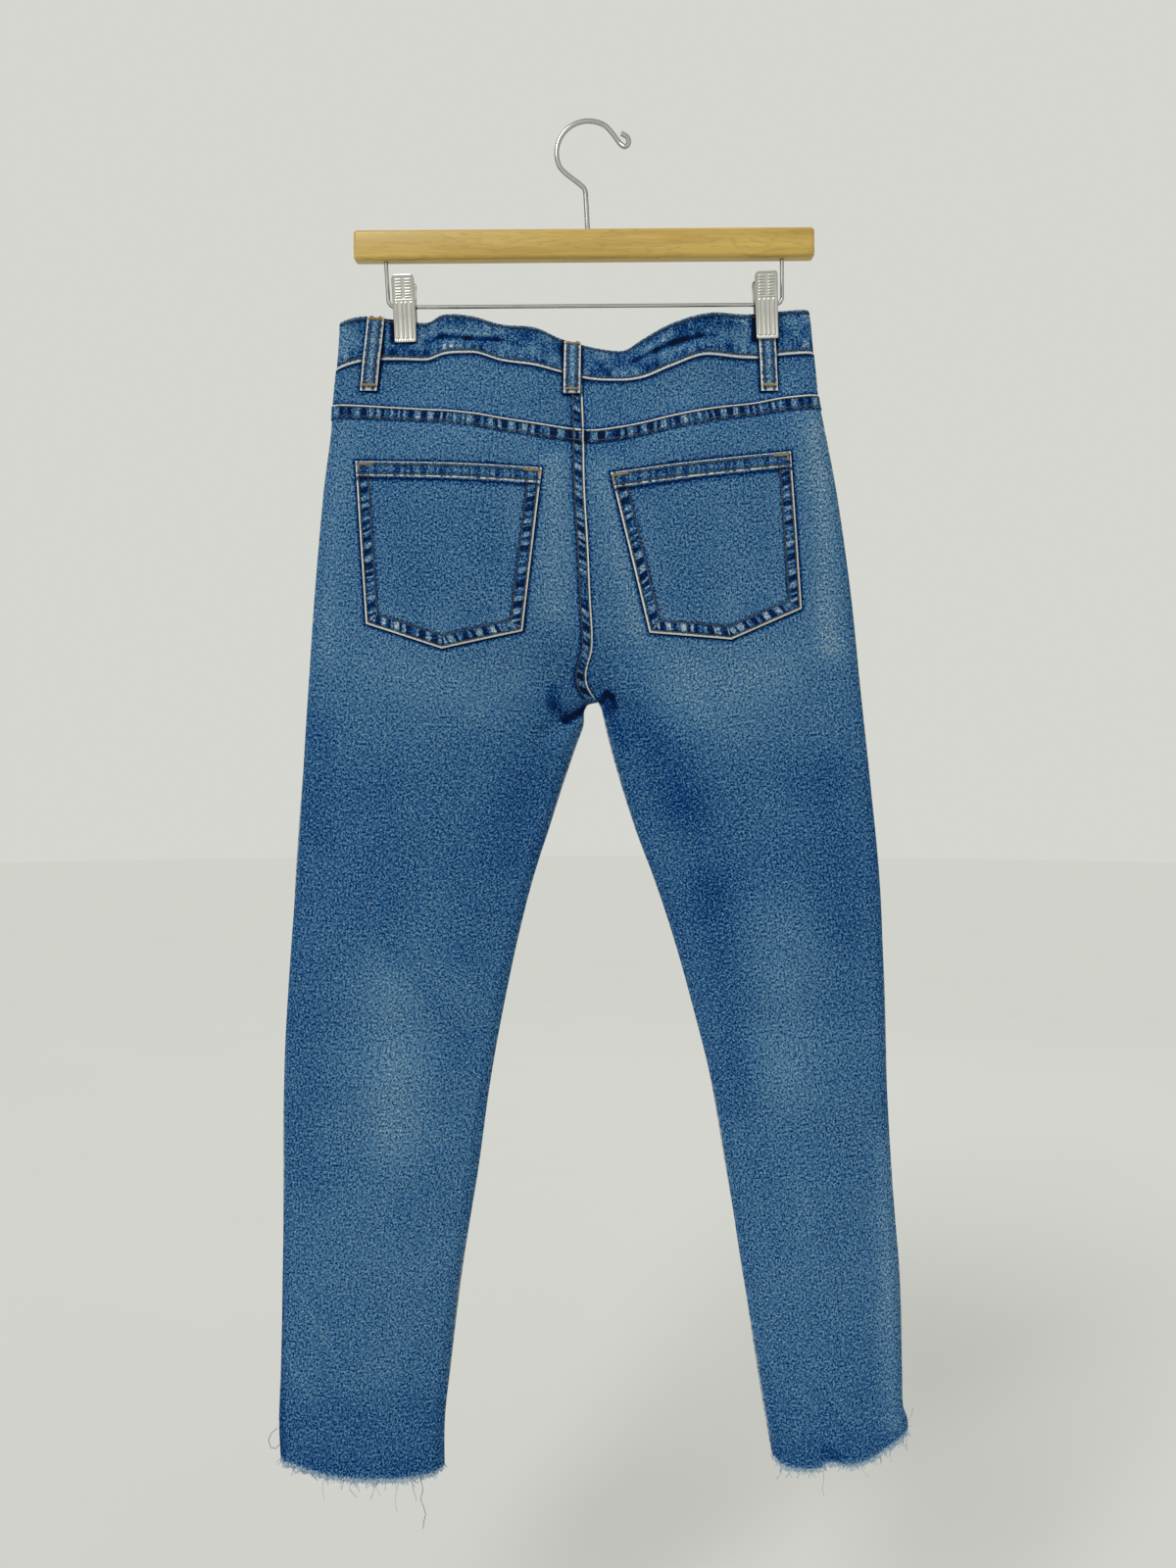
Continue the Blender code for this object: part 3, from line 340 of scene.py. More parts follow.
# Soft creases on top of the main folds
CREASES = table(
    "side x0 z0 x1 z1 width rise",
    (BACK, -64, -452, -18, -470, 3.6, -1.3),
    (BACK, -92, -462, -44, -486, 6.0, 1.0),
    (BACK, 24, -468, 58, -506, 5.0, -1.4),
    (BACK, 34, -462, 84, -492, 6.0, 0.9),
    (BACK, -30, -418, -6, -440, 4.0, -0.8),
    (BACK, 14, -414, 10, -440, 3.4, -0.9),
    (BACK, -160, -637, -96, -718, 6.5, -0.5),
    (BACK, -184, -646, -128, -700, 8.0, 0.6),
    (BACK, -222, -522, -176, -546, 8.0, -0.8),
    (BACK, 176, -540, 214, -520, 8.0, -0.8),
    (BACK, 92, -600, 140, -650, 8.0, -0.7),
    (BACK, 208, -640, 170, -676, 7.0, -0.8),
    (BACK, -226, -860, -180, -905, 8.0, -0.6),
    (BACK, 168, -880, 222, -846, 8.0, -0.6),
    (BACK, -120, -930, -160, -1000, 9.0, 0.6),
    (BACK, 150, -960, 196, -1010, 9.0, 0.6),
    (BACK, -98, -214, -60, -228, 5.0, -0.7),
    (BACK, 60, -214, 96, -224, 5.0, -0.7),
    (BACK, -24, -222, -18, -240, 5.0, -0.7),
    (FRONT, -96, -452, -26, -494, 5.0, -1.4),
    (FRONT, 40, -494, 104, -450, 5.0, -1.4),
    (FRONT, -70, -446, -14, -452, 4.0, -1.0),
    (FRONT, 22, -452, 80, -444, 4.0, -1.0),
    (FRONT, -198, -664, -120, -676, 6.0, -0.9),
    (FRONT, 126, -672, 206, -660, 6.0, -0.9),
    (FRONT, -206, -712, -140, -722, 6.0, 0.8),
    (FRONT, 140, -712, 214, -722, 6.0, 0.8),
    (FRONT, -190, -768, -130, -756, 7.0, -0.8),
    (FRONT, 132, -752, 208, -770, 7.0, -0.8),
    (FRONT, -90, -250, -50, -270, 8.0, -0.8),
    (FRONT, 60, -262, 96, -244, 8.0, -0.8),
)

# Fading: a paler (positive tone) or darker patch round each line, and round the crotch painted shade and one
# painted highlight
FADES_AND_SHADE = table(
    "side x0 z0 x1 z1 width tone",
    (BACK, -26, -270, -27, -380, 14, 0.36),
    (BACK, 8, -280, 36, -396, 12, 0.34),
    (BACK, -160, -430, -60, -438, 33, 0.20),
    (BACK, -98, -446, -62, -470, 24, 0.10),
    (BACK, 70, -436, 146, -432, 34, 0.36),
    (BACK, 84, -462, 120, -482, 24, 0.12),
    (BACK, 176, -240, 186, -410, 15, 0.44),
    (BACK, -194, -250, -206, -410, 13, 0.20),
    (BACK, -151, -676, -150, -780, 33, 0.45),
    (BACK, -126, -610, -124, -640, 17, 0.16),
    (BACK, 146, -630, 148, -752, 32, 0.34),
    (BACK, 229, -800, 236, -1010, 12, 0.36),
    (BACK, -150, -830, -156, -960, 44, 0.06),
    (BACK, 162, -825, 166, -893, 12, 0.12),
    # Round the crotch, down to the line from (16, -462): painted shade in its hollows and creases, and one
    # pale line, from (-20, -420), that is a painted highlight
    (BACK, -16, -440, 8, -444, 26, -0.26),
    (BACK, -29, -443, -29, -455, 4.5, -0.75),
    (BACK, -28, -456, -18, -463, 5.0, -0.70),
    (BACK, -20, -467.5, -3, -457, 2.2, -2.60),
    (BACK, -20, -420, -31, -437, 2.6, 0.16),
    (BACK, 8.5, -452, 13, -446, 2.2, -1.50),
    (BACK, 13, -446, 17.5, -449, 2.2, -1.70),
    (BACK, 17.5, -449, 19.5, -457, 2.0, -1.50),
    (BACK, 12, -452, 14, -458, 3.0, -0.80),
    (BACK, 16, -462, 26, -486, 5.0, -0.46),
    (BACK, 36, -470, 76, -528, 20, -0.48),
    (BACK, 70, -540, 92, -610, 17, -0.16),
    (BACK, -235, -1002, -125, -1006, 20, -0.14),
    (BACK, 182, -510, 196, -620, 20, -0.16),
    (BACK, -166, -525, -166, -590, 26, -0.08),
    (BACK, -209, -475, -212, -560, 13, -0.16),
    (BACK, -40, -470, -66, -570, 22, -0.28),
    (BACK, 96, -600, 118, -760, 18, -0.30),
    (BACK, -214, -660, -222, -820, 16, -0.12),
    (BACK, -160, -637, -95, -718, 8, -0.10),
    (BACK, -34, -255, 28, -253, 8, -0.30),
    (BACK, -235, -1044, -120, -1049, 16, -0.14),
    (BACK, 150, -1040, 240, -1030, 16, -0.10),
    (BACK, -240, -850, -241, -1040, 2.6, -0.60),
    (BACK, -228, -905, -196, -962, 1.6, 0.22),
    (BACK, -200, -1000, -176, -1036, 1.4, 0.20),
    (BACK, 176, -905, 204, -872, 1.6, 0.20),
    (BACK, 186, -985, 208, -1010, 1.6, 0.26),
    (BACK, 110, -908, 142, -968, 1.5, 0.26),
    (BACK, 154, -981, 175, -999, 1.5, 0.34),
    (BACK, 159, -1010, 163, -1027, 1.4, 0.32),
    (BACK, -238, -955, -211, -1001, 1.5, 0.30),
    (BACK, -131, -901, -115, -868, 1.4, 0.20),
    (BACK, 182, -1030, 190, -1037, 4.0, -0.70),
    (FRONT, -150, -690, -148, -772, 34, 0.42),
    (FRONT, 148, -682, 152, -764, 34, 0.42),
    (FRONT, -118, -430, -128, -560, 34, 0.32),
    (FRONT, 118, -424, 128, -556, 34, 0.32),
    (FRONT, -30, -448, 36, -450, 24, -0.34),
    (FRONT, -112, -366, -34, -386, 4, 0.20),
    (FRONT, -116, -384, -40, -408, 4, 0.18),
    (FRONT, 36, -388, 112, -364, 4, 0.20),
    (FRONT, 44, -410, 118, -386, 4, 0.18),
    (FRONT, -214, -560, -222, -640, 12, -0.20),
    (FRONT, 206, -560, 214, -640, 12, -0.20),
)
TONES = table(
    "z back front",
    (-180, 0.06, 0.02),
    (-245, 0.10, 0.06),
    (-330, 0.05, 0.05),
    (-425, 0.02, 0.02),
    (-480, -0.07, -0.05),
    (-545, -0.17, -0.09),
    (-610, -0.18, -0.12),
    (-680, -0.09, -0.04),
    (-780, -0.04, 0.02),
    (-860, 0.03, 0.04),
    (-970, -0.04, 0.00),
    (-1050, -0.34, -0.24),
)

# Wash of the patch pockets, by the leg that each is on
POCKET_FADES = table(
    "side x0 z0 x1 z1 width tone",
    (LEFT, -165, -385, -150, -396, 9, 0.30),
    (LEFT, -62, -392, -74, -400, 9, 0.34),
    (LEFT, -113, -400, -113, -392, 12, 0.18),
    (LEFT, -150, -310, -130, -360, 16, -0.10),
    (LEFT, -90, -310, -70, -350, 16, -0.06),
    (LEFT, -60, -290, -56, -330, 7, 0.16),
    (RIGHT, 56, -392, 70, -398, 10, 0.34),
    (RIGHT, 150, -378, 140, -388, 10, 0.30),
    (RIGHT, 108, -393, 108, -380, 14, 0.24),
    (RIGHT, 40, -310, 48, -360, 12, 0.14),
    (RIGHT, 100, -310, 120, -350, 24, 0.12),
    (RIGHT, 146, -290, 150, -340, 7, 0.14),
)


def along(sizes, place, value, at):
    """A smooth curve of one column against another, held level past its ends."""
    order = np.argsort(sizes[place])
    x, y = sizes[place][order], sizes[value][order]
    step = np.diff(x)
    slope = np.diff(y) / step
    tangent = np.concatenate([slope[:1], (slope[1:] + slope[:-1]) / 2, slope[-1:]])
    tangent[1:-1][slope[1:] * slope[:-1] <= 0] = 0
    at = np.clip(at, x[0], x[-1])
    k = np.clip(np.searchsorted(x, at) - 1, 0, len(step) - 1)
    t = (at - x[k]) / step[k]
    start = (1 + 2 * t) * (1 - t) ** 2 * y[k] + t * (1 - t) ** 2 * step[k] * tangent[k]
    end = t * t * (3 - 2 * t) * y[k + 1] + t * t * (t - 1) * step[k] * tangent[k + 1]
    return start + end


def ease(share):
    """0 to 1 with level ends."""
    share = np.clip(share, 0, 1)
    return share * share * (3 - 2 * share)


def mix(first, second, share):
    return first * (1 - share) + second * share


def side_edge(leg, z):
    return along(LEFT_SIDE if leg == LEFT else RIGHT_SIDE, "z", "x", z)


def centre_seam(side, z):
    return along(CENTRE_BACK if side == BACK else CENTRE_FRONT, "z", "x", z)


def inseam(leg, z):
    return along(LEFT_INSEAM if leg == LEFT else RIGHT_INSEAM, "z", "x", z)


def inner_edge(side, leg, z):
    """The centre seam above the crotch, the inseam below it."""
    return np.where(z > CROTCH_Z, centre_seam(side, z), inseam(leg, z))


def inseam_lines():
    """Both inseams as one run of short segments."""
    steps = CROTCH_Z - 620 * np.linspace(0, 1, 90) ** 1.6
    starts, ends = [], []
    for leg in (LEFT, RIGHT):
        points = np.stack([inseam(leg, steps), steps], axis=-1)
        starts.append(points[:-1])
        ends.append(points[1:])
    return np.concatenate(starts), np.concatenate(ends)


INSEAM_STARTS, INSEAM_ENDS = inseam_lines()


def nearest_on_lines(x, z, starts, ends):
    """Distance to the nearest segment, the way from it and the run along all of them to there."""
    x, z = np.broadcast_arrays(np.asarray(x, float), np.asarray(z, float))
    runs = ends - starts
    lengths = np.sqrt((runs**2).sum(-1))
    before = np.concatenate([[0], np.cumsum(lengths)[:-1]])
    found = []
    points = np.stack([x.ravel(), z.ravel()], axis=-1)
    for block in np.array_split(points, len(points) // 5000 + 1):
        share = np.clip(((block[:, None] - starts) * runs).sum(-1) / lengths**2, 0, 1)
        ways = block[:, None] - starts - share[..., None] * runs
        distances = (ways**2).sum(-1)
        best = distances.argmin(-1)
        rows = np.arange(len(block))
        run = before[best] + share[rows, best] * lengths[best]
        found.append(np.column_stack([np.sqrt(distances[rows, best]), ways[rows, best], run]))
    found = np.concatenate(found).reshape(*x.shape, 4)
    return found[..., 0], found[..., 1:3], found[..., 3]


def roundness(distance):
    """Sine and cosine of the skin's turn at a distance from a rounded edge."""
    cosine = 1 - np.clip(distance / EDGE_RADIUS, 0, 1)
    return np.sqrt(1 - cosine**2), cosine


def swell(distance, run):
    return np.sin(math.pi / 2 * np.clip(distance / run, 0, 1))


def seam_height(side, name, x):
    return along(BACK_SEAMS if side == BACK else FRONT_SEAMS, "x", name, x)


def pinch(x, share):
    """1 where a clip presses the band flat, fading sideways and down."""
    reach = np.zeros_like(x)
    for place in CLIP_X.values():
        reach = np.maximum(reach, 1 - ease((np.abs(x - place) - PINCH_FLAT) / PINCH_FADE))
    return reach * mix(PINCH_FOOT, 1.0, ease(share / PINCH_HIGH))


def band_depth(side, x, share):
    """Depth of the band's outer skin at a share of its height, before its rounded ends."""
    face = "back" if side == BACK else "front"
    foot = along(BAND_DEPTHS, "x", face + "_foot", x)
    top = along(BAND_DEPTHS, "x", face + "_top", x)
    depth = mix(foot, top, share)
    for k in range(len(BAND_FOLDS["side"])):
        fold = {name: column[k] for name, column in BAND_FOLDS.items()}
        if fold["side"] != side:
            continue
        low, high = sorted((fold["x0"], fold["x1"]))
        past = np.maximum(np.maximum(low - x, x - high), 0) / BAND_FOLD_END
        across = (share - fold["share"]) / fold["width"]
        depth = depth + fold["rise"] * np.exp(-(past**2) - across**2)
    pressed = BAND_WALL + SEAM_GAP / 2
    return mix(depth, pressed, pinch(x, share))


def fold_rise(side, x, z):
    return soft_lines(FOLDS, side, x, z, "rise") + soft_lines(CREASES, side, x, z, "rise")


def cloth(side, leg, x, z, out):
    """Points at a height `out` over the panels' outer skin, above (x, z) in the flat."""
    x, z = np.broadcast_arrays(np.asarray(x, float), np.asarray(z, float))
    outer = np.abs(x - side_edge(leg, z))
    inner, way, _ = nearest_on_lines(x, z, INSEAM_STARTS, INSEAM_ENDS)
    outer_sine, outer_cosine = roundness(outer)
    inner_sine, inner_cosine = roundness(inner)
    face = "back" if side == BACK else "front"
    depth = EDGE_DEPTH * outer_sine * inner_sine
    depth += (
        along(DEPTHS, "z", face, z)
        * swell(outer, along(DEPTHS, "z", "outer_run", z))
        * swell(inner, along(DEPTHS, "z", "inner_run", z))
    )
    below = (seam_height(side, "band_foot", x) - z) / BAND_FADE
    at_band = (band_depth(side, x, np.zeros_like(x)) - BAND_STEP) * outer_sine
    depth = mix(at_band, depth, ease(below))
    depth = depth + fold_rise(side, x, z) * outer_sine * inner_sine * ease(below * 3)
    way = way + np.array([leg * 1e-3, 3e-4])
    way = way / np.linalg.norm(way, axis=-1, keepdims=True)
    normal_x = -outer_cosine * -leg + -inner_cosine * way[..., 0]
    normal_z = -inner_cosine * way[..., 1]
    normal_y = outer_sine * inner_sine
    length = np.sqrt(normal_x**2 + normal_y**2 + normal_z**2)
    lift = out / length
    return np.stack(
        [
            x + lift * normal_x,
            side * (SEAM_GAP / 2 + depth + lift * normal_y),
            z + lift * normal_z,
        ],
        axis=-1,
    )


def column_x(side, leg, columns, z):
    """Where each column stands at height z."""
    outer = side_edge(leg, z) - leg * columns[:, 0]
    inner = inner_edge(side, leg, z) + leg * (columns[:, 1] + SEAM_GAP / 2)
    return mix(outer, inner, columns[:, 2])


def seam_row(side, leg, columns, name, drop):
    """A row of a panel's grid along a cross seam."""
    z = np.full(len(columns), -200.0)
    for _ in range(4):
        x = column_x(side, leg, columns, z)
        z = seam_height(side, name, x) - drop
    return x, z


def scoop(leg, x, z):
    """How far below the band's foot the front panel is scooped for its pocket."""
    share = np.clip(np.abs(x - side_edge(leg, z)) / SCOOP_WIDTH, 0, 1)
    return SCOOP_DEPTH * (1 - share**2) ** SCOOP_POWER


# Looks that are drawn into the cloth as a tone at each point

def roping(run, seed, shortest=1.7, longest=3.6):
    """Uneven light and dark bars along a seam, from -1 to 1."""
    chance = np.random.default_rng(seed)
    knots = np.cumsum(chance.uniform(shortest, longest, 1400)) - 20
    bars = chance.uniform(0.35, 1.0, 1400) * np.where(np.arange(1400) % 2, 1, -1)
    return np.interp(run, knots, bars)


def patches(run, seed):
    """Slow uneven patches along a strip, from -1 to 1."""
    return 0.6 * roping(run, seed, 7, 19) + 0.4 * roping(run, seed + 1, 3, 8)


def line_at(distance, width):
    return np.exp(-((distance / width) ** 2))


def soft_lines(sizes, side, x, z, value):
    """The sum of soft capsules, one round each of a table's lines on this side."""
    total = np.zeros(np.broadcast(x, z).shape)
    for k in np.flatnonzero(sizes["side"] == side):
        start = np.array([[sizes["x0"][k], sizes["z0"][k]]])
        end = np.array([[sizes["x1"][k], sizes["z1"][k]]])
        distance = nearest_on_lines(x, z, start, end)[0]
        total = total + sizes[value][k] * line_at(distance, sizes["width"][k])
    return total


def wash_and_shade(side, x, z):
    face = "back" if side == BACK else "front"
    blotches = 0.055 * mottle(x, z, 34.0, 5) + 0.045 * mottle(x + 0.3 * z, 0.7 * z, 13.0, 6)
    # Tones by height, fades and blotches, with painted shade and a painted highlight round the crotch
    return along(TONES, "z", face, z) + soft_lines(FADES_AND_SHADE, side, x, z, "tone") + blotches


def lap_height(inside, width):
    """Height of a seam's lap at a distance inside its folded edge."""
    rise = LAP_RISE * (0.45 + 0.55 * ease(inside / 0.8)) * ease((width + LAP_EDGE - inside) / LAP_EDGE)
    return np.where(inside < 0, 0.0, rise)


def lap_middle(inside, width):
    """1 between a lap's two rows of stitches, where the cloth ropes."""
    return ease((inside - 0.8) / 1.2) * ease((width - inside) / 1.2)


def lap_tone(inside, width):
    """Pale folded edge, darker middle, and under the lap a line of painted shadow, then a pale line."""
    tone = 1.60 * line_at(inside - 0.5, 0.9) - 0.16 * lap_middle(inside, width)
    tone -= 0.55 * line_at(inside - 2.2, 0.8)
    # Beyond the lap a painted shadow where it steps down, and a pale line past that
    tone += 0.36 * line_at(inside - width - 2.2, 1.2) - 1.10 * line_at(inside - width - 0.2, 0.9)
    return np.where(inside < -0.01, 0.0, tone)


def mottle(x, z, size, seed):
    """Smooth uneven patches of about one size over a surface, from -1 to 1."""
    chance = np.random.default_rng(seed).uniform(-1, 1, (97, 97))
    across, up = x / size + 900, z / size + 900
    column, row = np.floor(across).astype(int), np.floor(up).astype(int)
    u, v = ease(across - column), ease(up - row)
    low = mix(chance[column % 97, row % 97], chance[(column + 1) % 97, row % 97], u)
    high = mix(chance[column % 97, (row + 1) % 97], chance[(column + 1) % 97, (row + 1) % 97], u)
    return mix(low, high, v)


# Making meshes

def finish_piece(obj, replaced=(), materials=()):
    """Give a finished piece its materials and its body, and hide the nodes that it stands for."""
    for made in materials:
        obj.data.materials.append(made)
    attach(obj, BODY)
    if replaced:
        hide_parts(*replaced)
    return obj


def new_object(name, mesh, sharp=45):
    mesh.shade_smooth()
    mesh.set_sharp_from_angle(angle=math.radians(sharp))
    obj = bpy.data.objects.new(name, mesh)
    bpy.context.scene.collection.objects.link(obj)
    return obj


def bmesh_object(name, shape, sharp=45):
    bmesh.ops.recalc_face_normals(shape, faces=shape.faces[:])
    mesh = bpy.data.meshes.new(name)
    shape.to_mesh(mesh)
    shape.free()
    return new_object(name, mesh, sharp)


def wall_mesh(name, outer, inner, marks):
    """A closed wall between two grids of points, with its weave map and its marks.

    The marks are grids of numbers for the cloth's finish: `tone` is how pale the cloth is drawn,
    from its fading and wear and in places from painted shade and highlights, `rope` how strongly a
    seam ropes there, `run` the distance along that seam and `beside` the distance to a piece that
    is laid on the cloth, beside which the denim paints a shadow.
    """
    rows, columns = outer.shape[:2]
    shape = bmesh.new()
    back = shape.verts.layers.int.new("inner")
    bmesh.ops.create_grid(shape, x_segments=columns - 1, y_segments=rows - 1, size=1.0)
    first = set(shape.verts)
    bmesh.ops.extrude_face_region(shape, geom=shape.faces[:], use_keep_orig=True)
    for vert in shape.verts:
        vert[back] = vert not in first
    mesh = bpy.data.meshes.new(name)
    shape.to_mesh(mesh)
    count = len(mesh.vertices)
    flat = np.empty(count * 3)
    mesh.vertices.foreach_get("co", flat)
    flat = flat.reshape(-1, 3)
    column = np.rint((flat[:, 0] + 1) / 2 * (columns - 1)).astype(int)
    row = np.rint((flat[:, 1] + 1) / 2 * (rows - 1)).astype(int)
    is_inner = np.empty(count, dtype=np.int32)
    mesh.attributes["inner"].data.foreach_get("value", is_inner)
    is_inner = is_inner.astype(bool)
    points = np.where(is_inner[:, None], inner[row, column], outer[row, column]) * MM
    mesh.vertices.foreach_set("co", points.ravel())
    mesh.attributes.remove(mesh.attributes["inner"])
    for mark, values in marks.items():
        drawn = mesh.attributes.new(mark, "FLOAT", "POINT")
        drawn.data.foreach_set("value", values[row, column].astype(np.float32))
    corners = np.empty(len(mesh.loops), dtype=np.int32)
    mesh.loops.foreach_get("vertex_index", corners)
    across = np.linalg.norm(np.diff(outer, axis=1), axis=2).cumsum(axis=1)
    across = np.concatenate([np.zeros((rows, 1)), across], axis=1)
    across -= across[:, columns // 2][:, None]
    down = np.linalg.norm(np.diff(outer, axis=0), axis=2).cumsum(axis=0)
    down = np.concatenate([np.zeros((1, columns)), down], axis=0)
    weave = np.stack([across[row, column], -down[row, column]], axis=-1)[corners] * MM
    layer = mesh.uv_layers.new(name="weave")
    layer.data.foreach_set("uv", weave.astype(np.float32).ravel())
    inside = is_inner[corners].reshape(-1, 4).any(axis=1).astype(np.int32)
    mesh.polygons.foreach_set("material_index", inside)
    shape.clear()
    shape.from_mesh(mesh)
    bmesh.ops.recalc_face_normals(shape, faces=shape.faces[:])
    shape.to_mesh(mesh)
    shape.free()
    return mesh


def cloth_piece(
        name, outer, inner, tone, rope, run, replaced, beside=40.0):
    """A sheet of denim: its wall and its two faces."""
    marks = {"tone": tone, "rope": rope + 0 * tone, "run": run + 0 * tone, "beside": beside + 0 * tone}
    obj = new_object(name, wall_mesh(name, outer, inner, marks), 50)
    finish_piece(obj, replaced, (FINISH["denim"], FINISH["denim_inside"]))
    return obj


def thread_object(name, paths, thickness, sides=1):
    """Round threads along paths in millimetres, joined in one closed mesh."""
    data = bpy.data.curves.new(name + "_lines", "CURVE")
    data.dimensions = "3D"
    data.bevel_depth = thickness / 2 * MM
    data.bevel_resolution = sides
    data.use_fill_caps = True
    for path in paths:
        spline = data.splines.new("POLY")
        spline.points.add(len(path) - 1)
        homogeneous = np.concatenate([np.asarray(path) * MM, np.ones((len(path), 1))], axis=1)
        spline.points.foreach_set("co", homogeneous.ravel())
        spline.use_smooth = True
    line = bpy.data.objects.new(name + "_lines", data)
    bpy.context.scene.collection.objects.link(line)
    bpy.context.view_layer.update()
    mesh = bpy.data.meshes.new_from_object(line)
    bpy.data.objects.remove(line)
    mesh.name = name
    shape = bmesh.new()
    shape.from_mesh(mesh)
    bmesh.ops.remove_doubles(shape, verts=shape.verts[:], dist=2e-6)
    bmesh.ops.recalc_face_normals(shape, faces=shape.faces[:])
    shape.to_mesh(mesh)
    shape.free()
    return new_object(name, mesh, 60)


# Threads of the seams

def stitch_row(surface, x, z, lift=0.1):
    """Short arched stitches along a line over a surface."""
    look = bpy.context.scene.jeans_cloth
    pitch, length = look.stitch_pitch / MM, look.stitch_length / MM
    run = np.concatenate([[0], np.cumsum(np.hypot(np.diff(x), np.diff(z)))])
    count = max(int(run[-1] // pitch), 1)
    starts = (np.arange(count) + 0.5) * run[-1] / count - length / 2
    steps = []
    for share, rise in ((0.0, -0.15), (0.25, 0.2), (0.75, 0.2), (1.0, -0.15)):
        at = starts + share * length
        steps.append(surface(np.interp(at, run, x), np.interp(at, run, z), lift + rise))
    return list(np.stack(steps, axis=1))


def bartack(surface, x, z, width, height, turn=0.0):
    """A dense bar of short stitches, `width` long, centred on (x, z)."""
    count = int(width / 0.5)
    place = np.linspace(-width / 2, width / 2, count)
    lean = np.where(np.arange(count) % 2, 0.22, -0.22)
    cosine, sine = math.cos(turn), math.sin(turn)
    steps = []
    for share, rise in ((-0.5, -0.1), (-0.2, 0.4), (0.2, 0.4), (0.5, -0.1)):
        along_bar = place + lean * share * 2
        up = share * height + 0.0 * place
        steps.append(surface(
            x + along_bar * cosine - up * sine, z + along_bar * sine + up * cosine, rise + 0.15,
        ))
    return list(np.stack(steps, axis=1))


# Materials

FINISH = {}


def node(tree, kind, place, inputs=None, **settings):
    """Add a shader node, set its options and link or set its inputs."""
    made = tree.nodes.new(kind)
    made.location = place
    for key, value in settings.items():
        setattr(made, key, value)
    for key, value in (inputs or {}).items():
        if isinstance(value, bpy.types.NodeSocket):
            tree.links.new(value, made.inputs[key])
        else:
            made.inputs[key].default_value = value
    return made


def maths(tree, place, operation, *values):
    made = node(tree, "ShaderNodeMath", place, operation=operation)
    for socket, value in zip(made.inputs, values):
        if isinstance(value, bpy.types.NodeSocket):
            tree.links.new(value, socket)
        else:
            socket.default_value = value
    return made.outputs[0]


def blended(tree, place, factor, first, second):
    """A mix of two colours; each may be a socket or a plain value."""
    made = node(tree, "ShaderNodeMix", place, data_type="RGBA")
    for socket, value in ((made.inputs[0], factor), (made.inputs[6], first), (made.inputs[7], second)):
        if isinstance(value, bpy.types.NodeSocket):
            tree.links.new(value, socket)
        else:
            socket.default_value = value
    return made.outputs[2]


def spread(tree, place, value, low, high, to_low, to_high):
    made = node(
        tree, "ShaderNodeMapRange", place,
        {"Value": value, "From Min": low, "From Max": high, "To Min": to_low, "To Max": to_high},
    )
    return made.outputs[0]


def shader_group(name, inputs, outputs):
    """An empty node group with named inputs and outputs."""
    group = bpy.data.node_groups.new(name, "ShaderNodeTree")
    for label, kind, value in inputs:
        socket = group.interface.new_socket(label, in_out="INPUT", socket_type=kind)
        socket.default_value = value
    for label, kind in outputs:
        group.interface.new_socket(label, in_out="OUTPUT", socket_type=kind)
    start = node(group, "NodeGroupInput", (-1400, 0))
    end = node(group, "NodeGroupOutput", (900, 0))
    return group, start.outputs, end.inputs


def rgba(colour):
    return (*colour, 1.0)


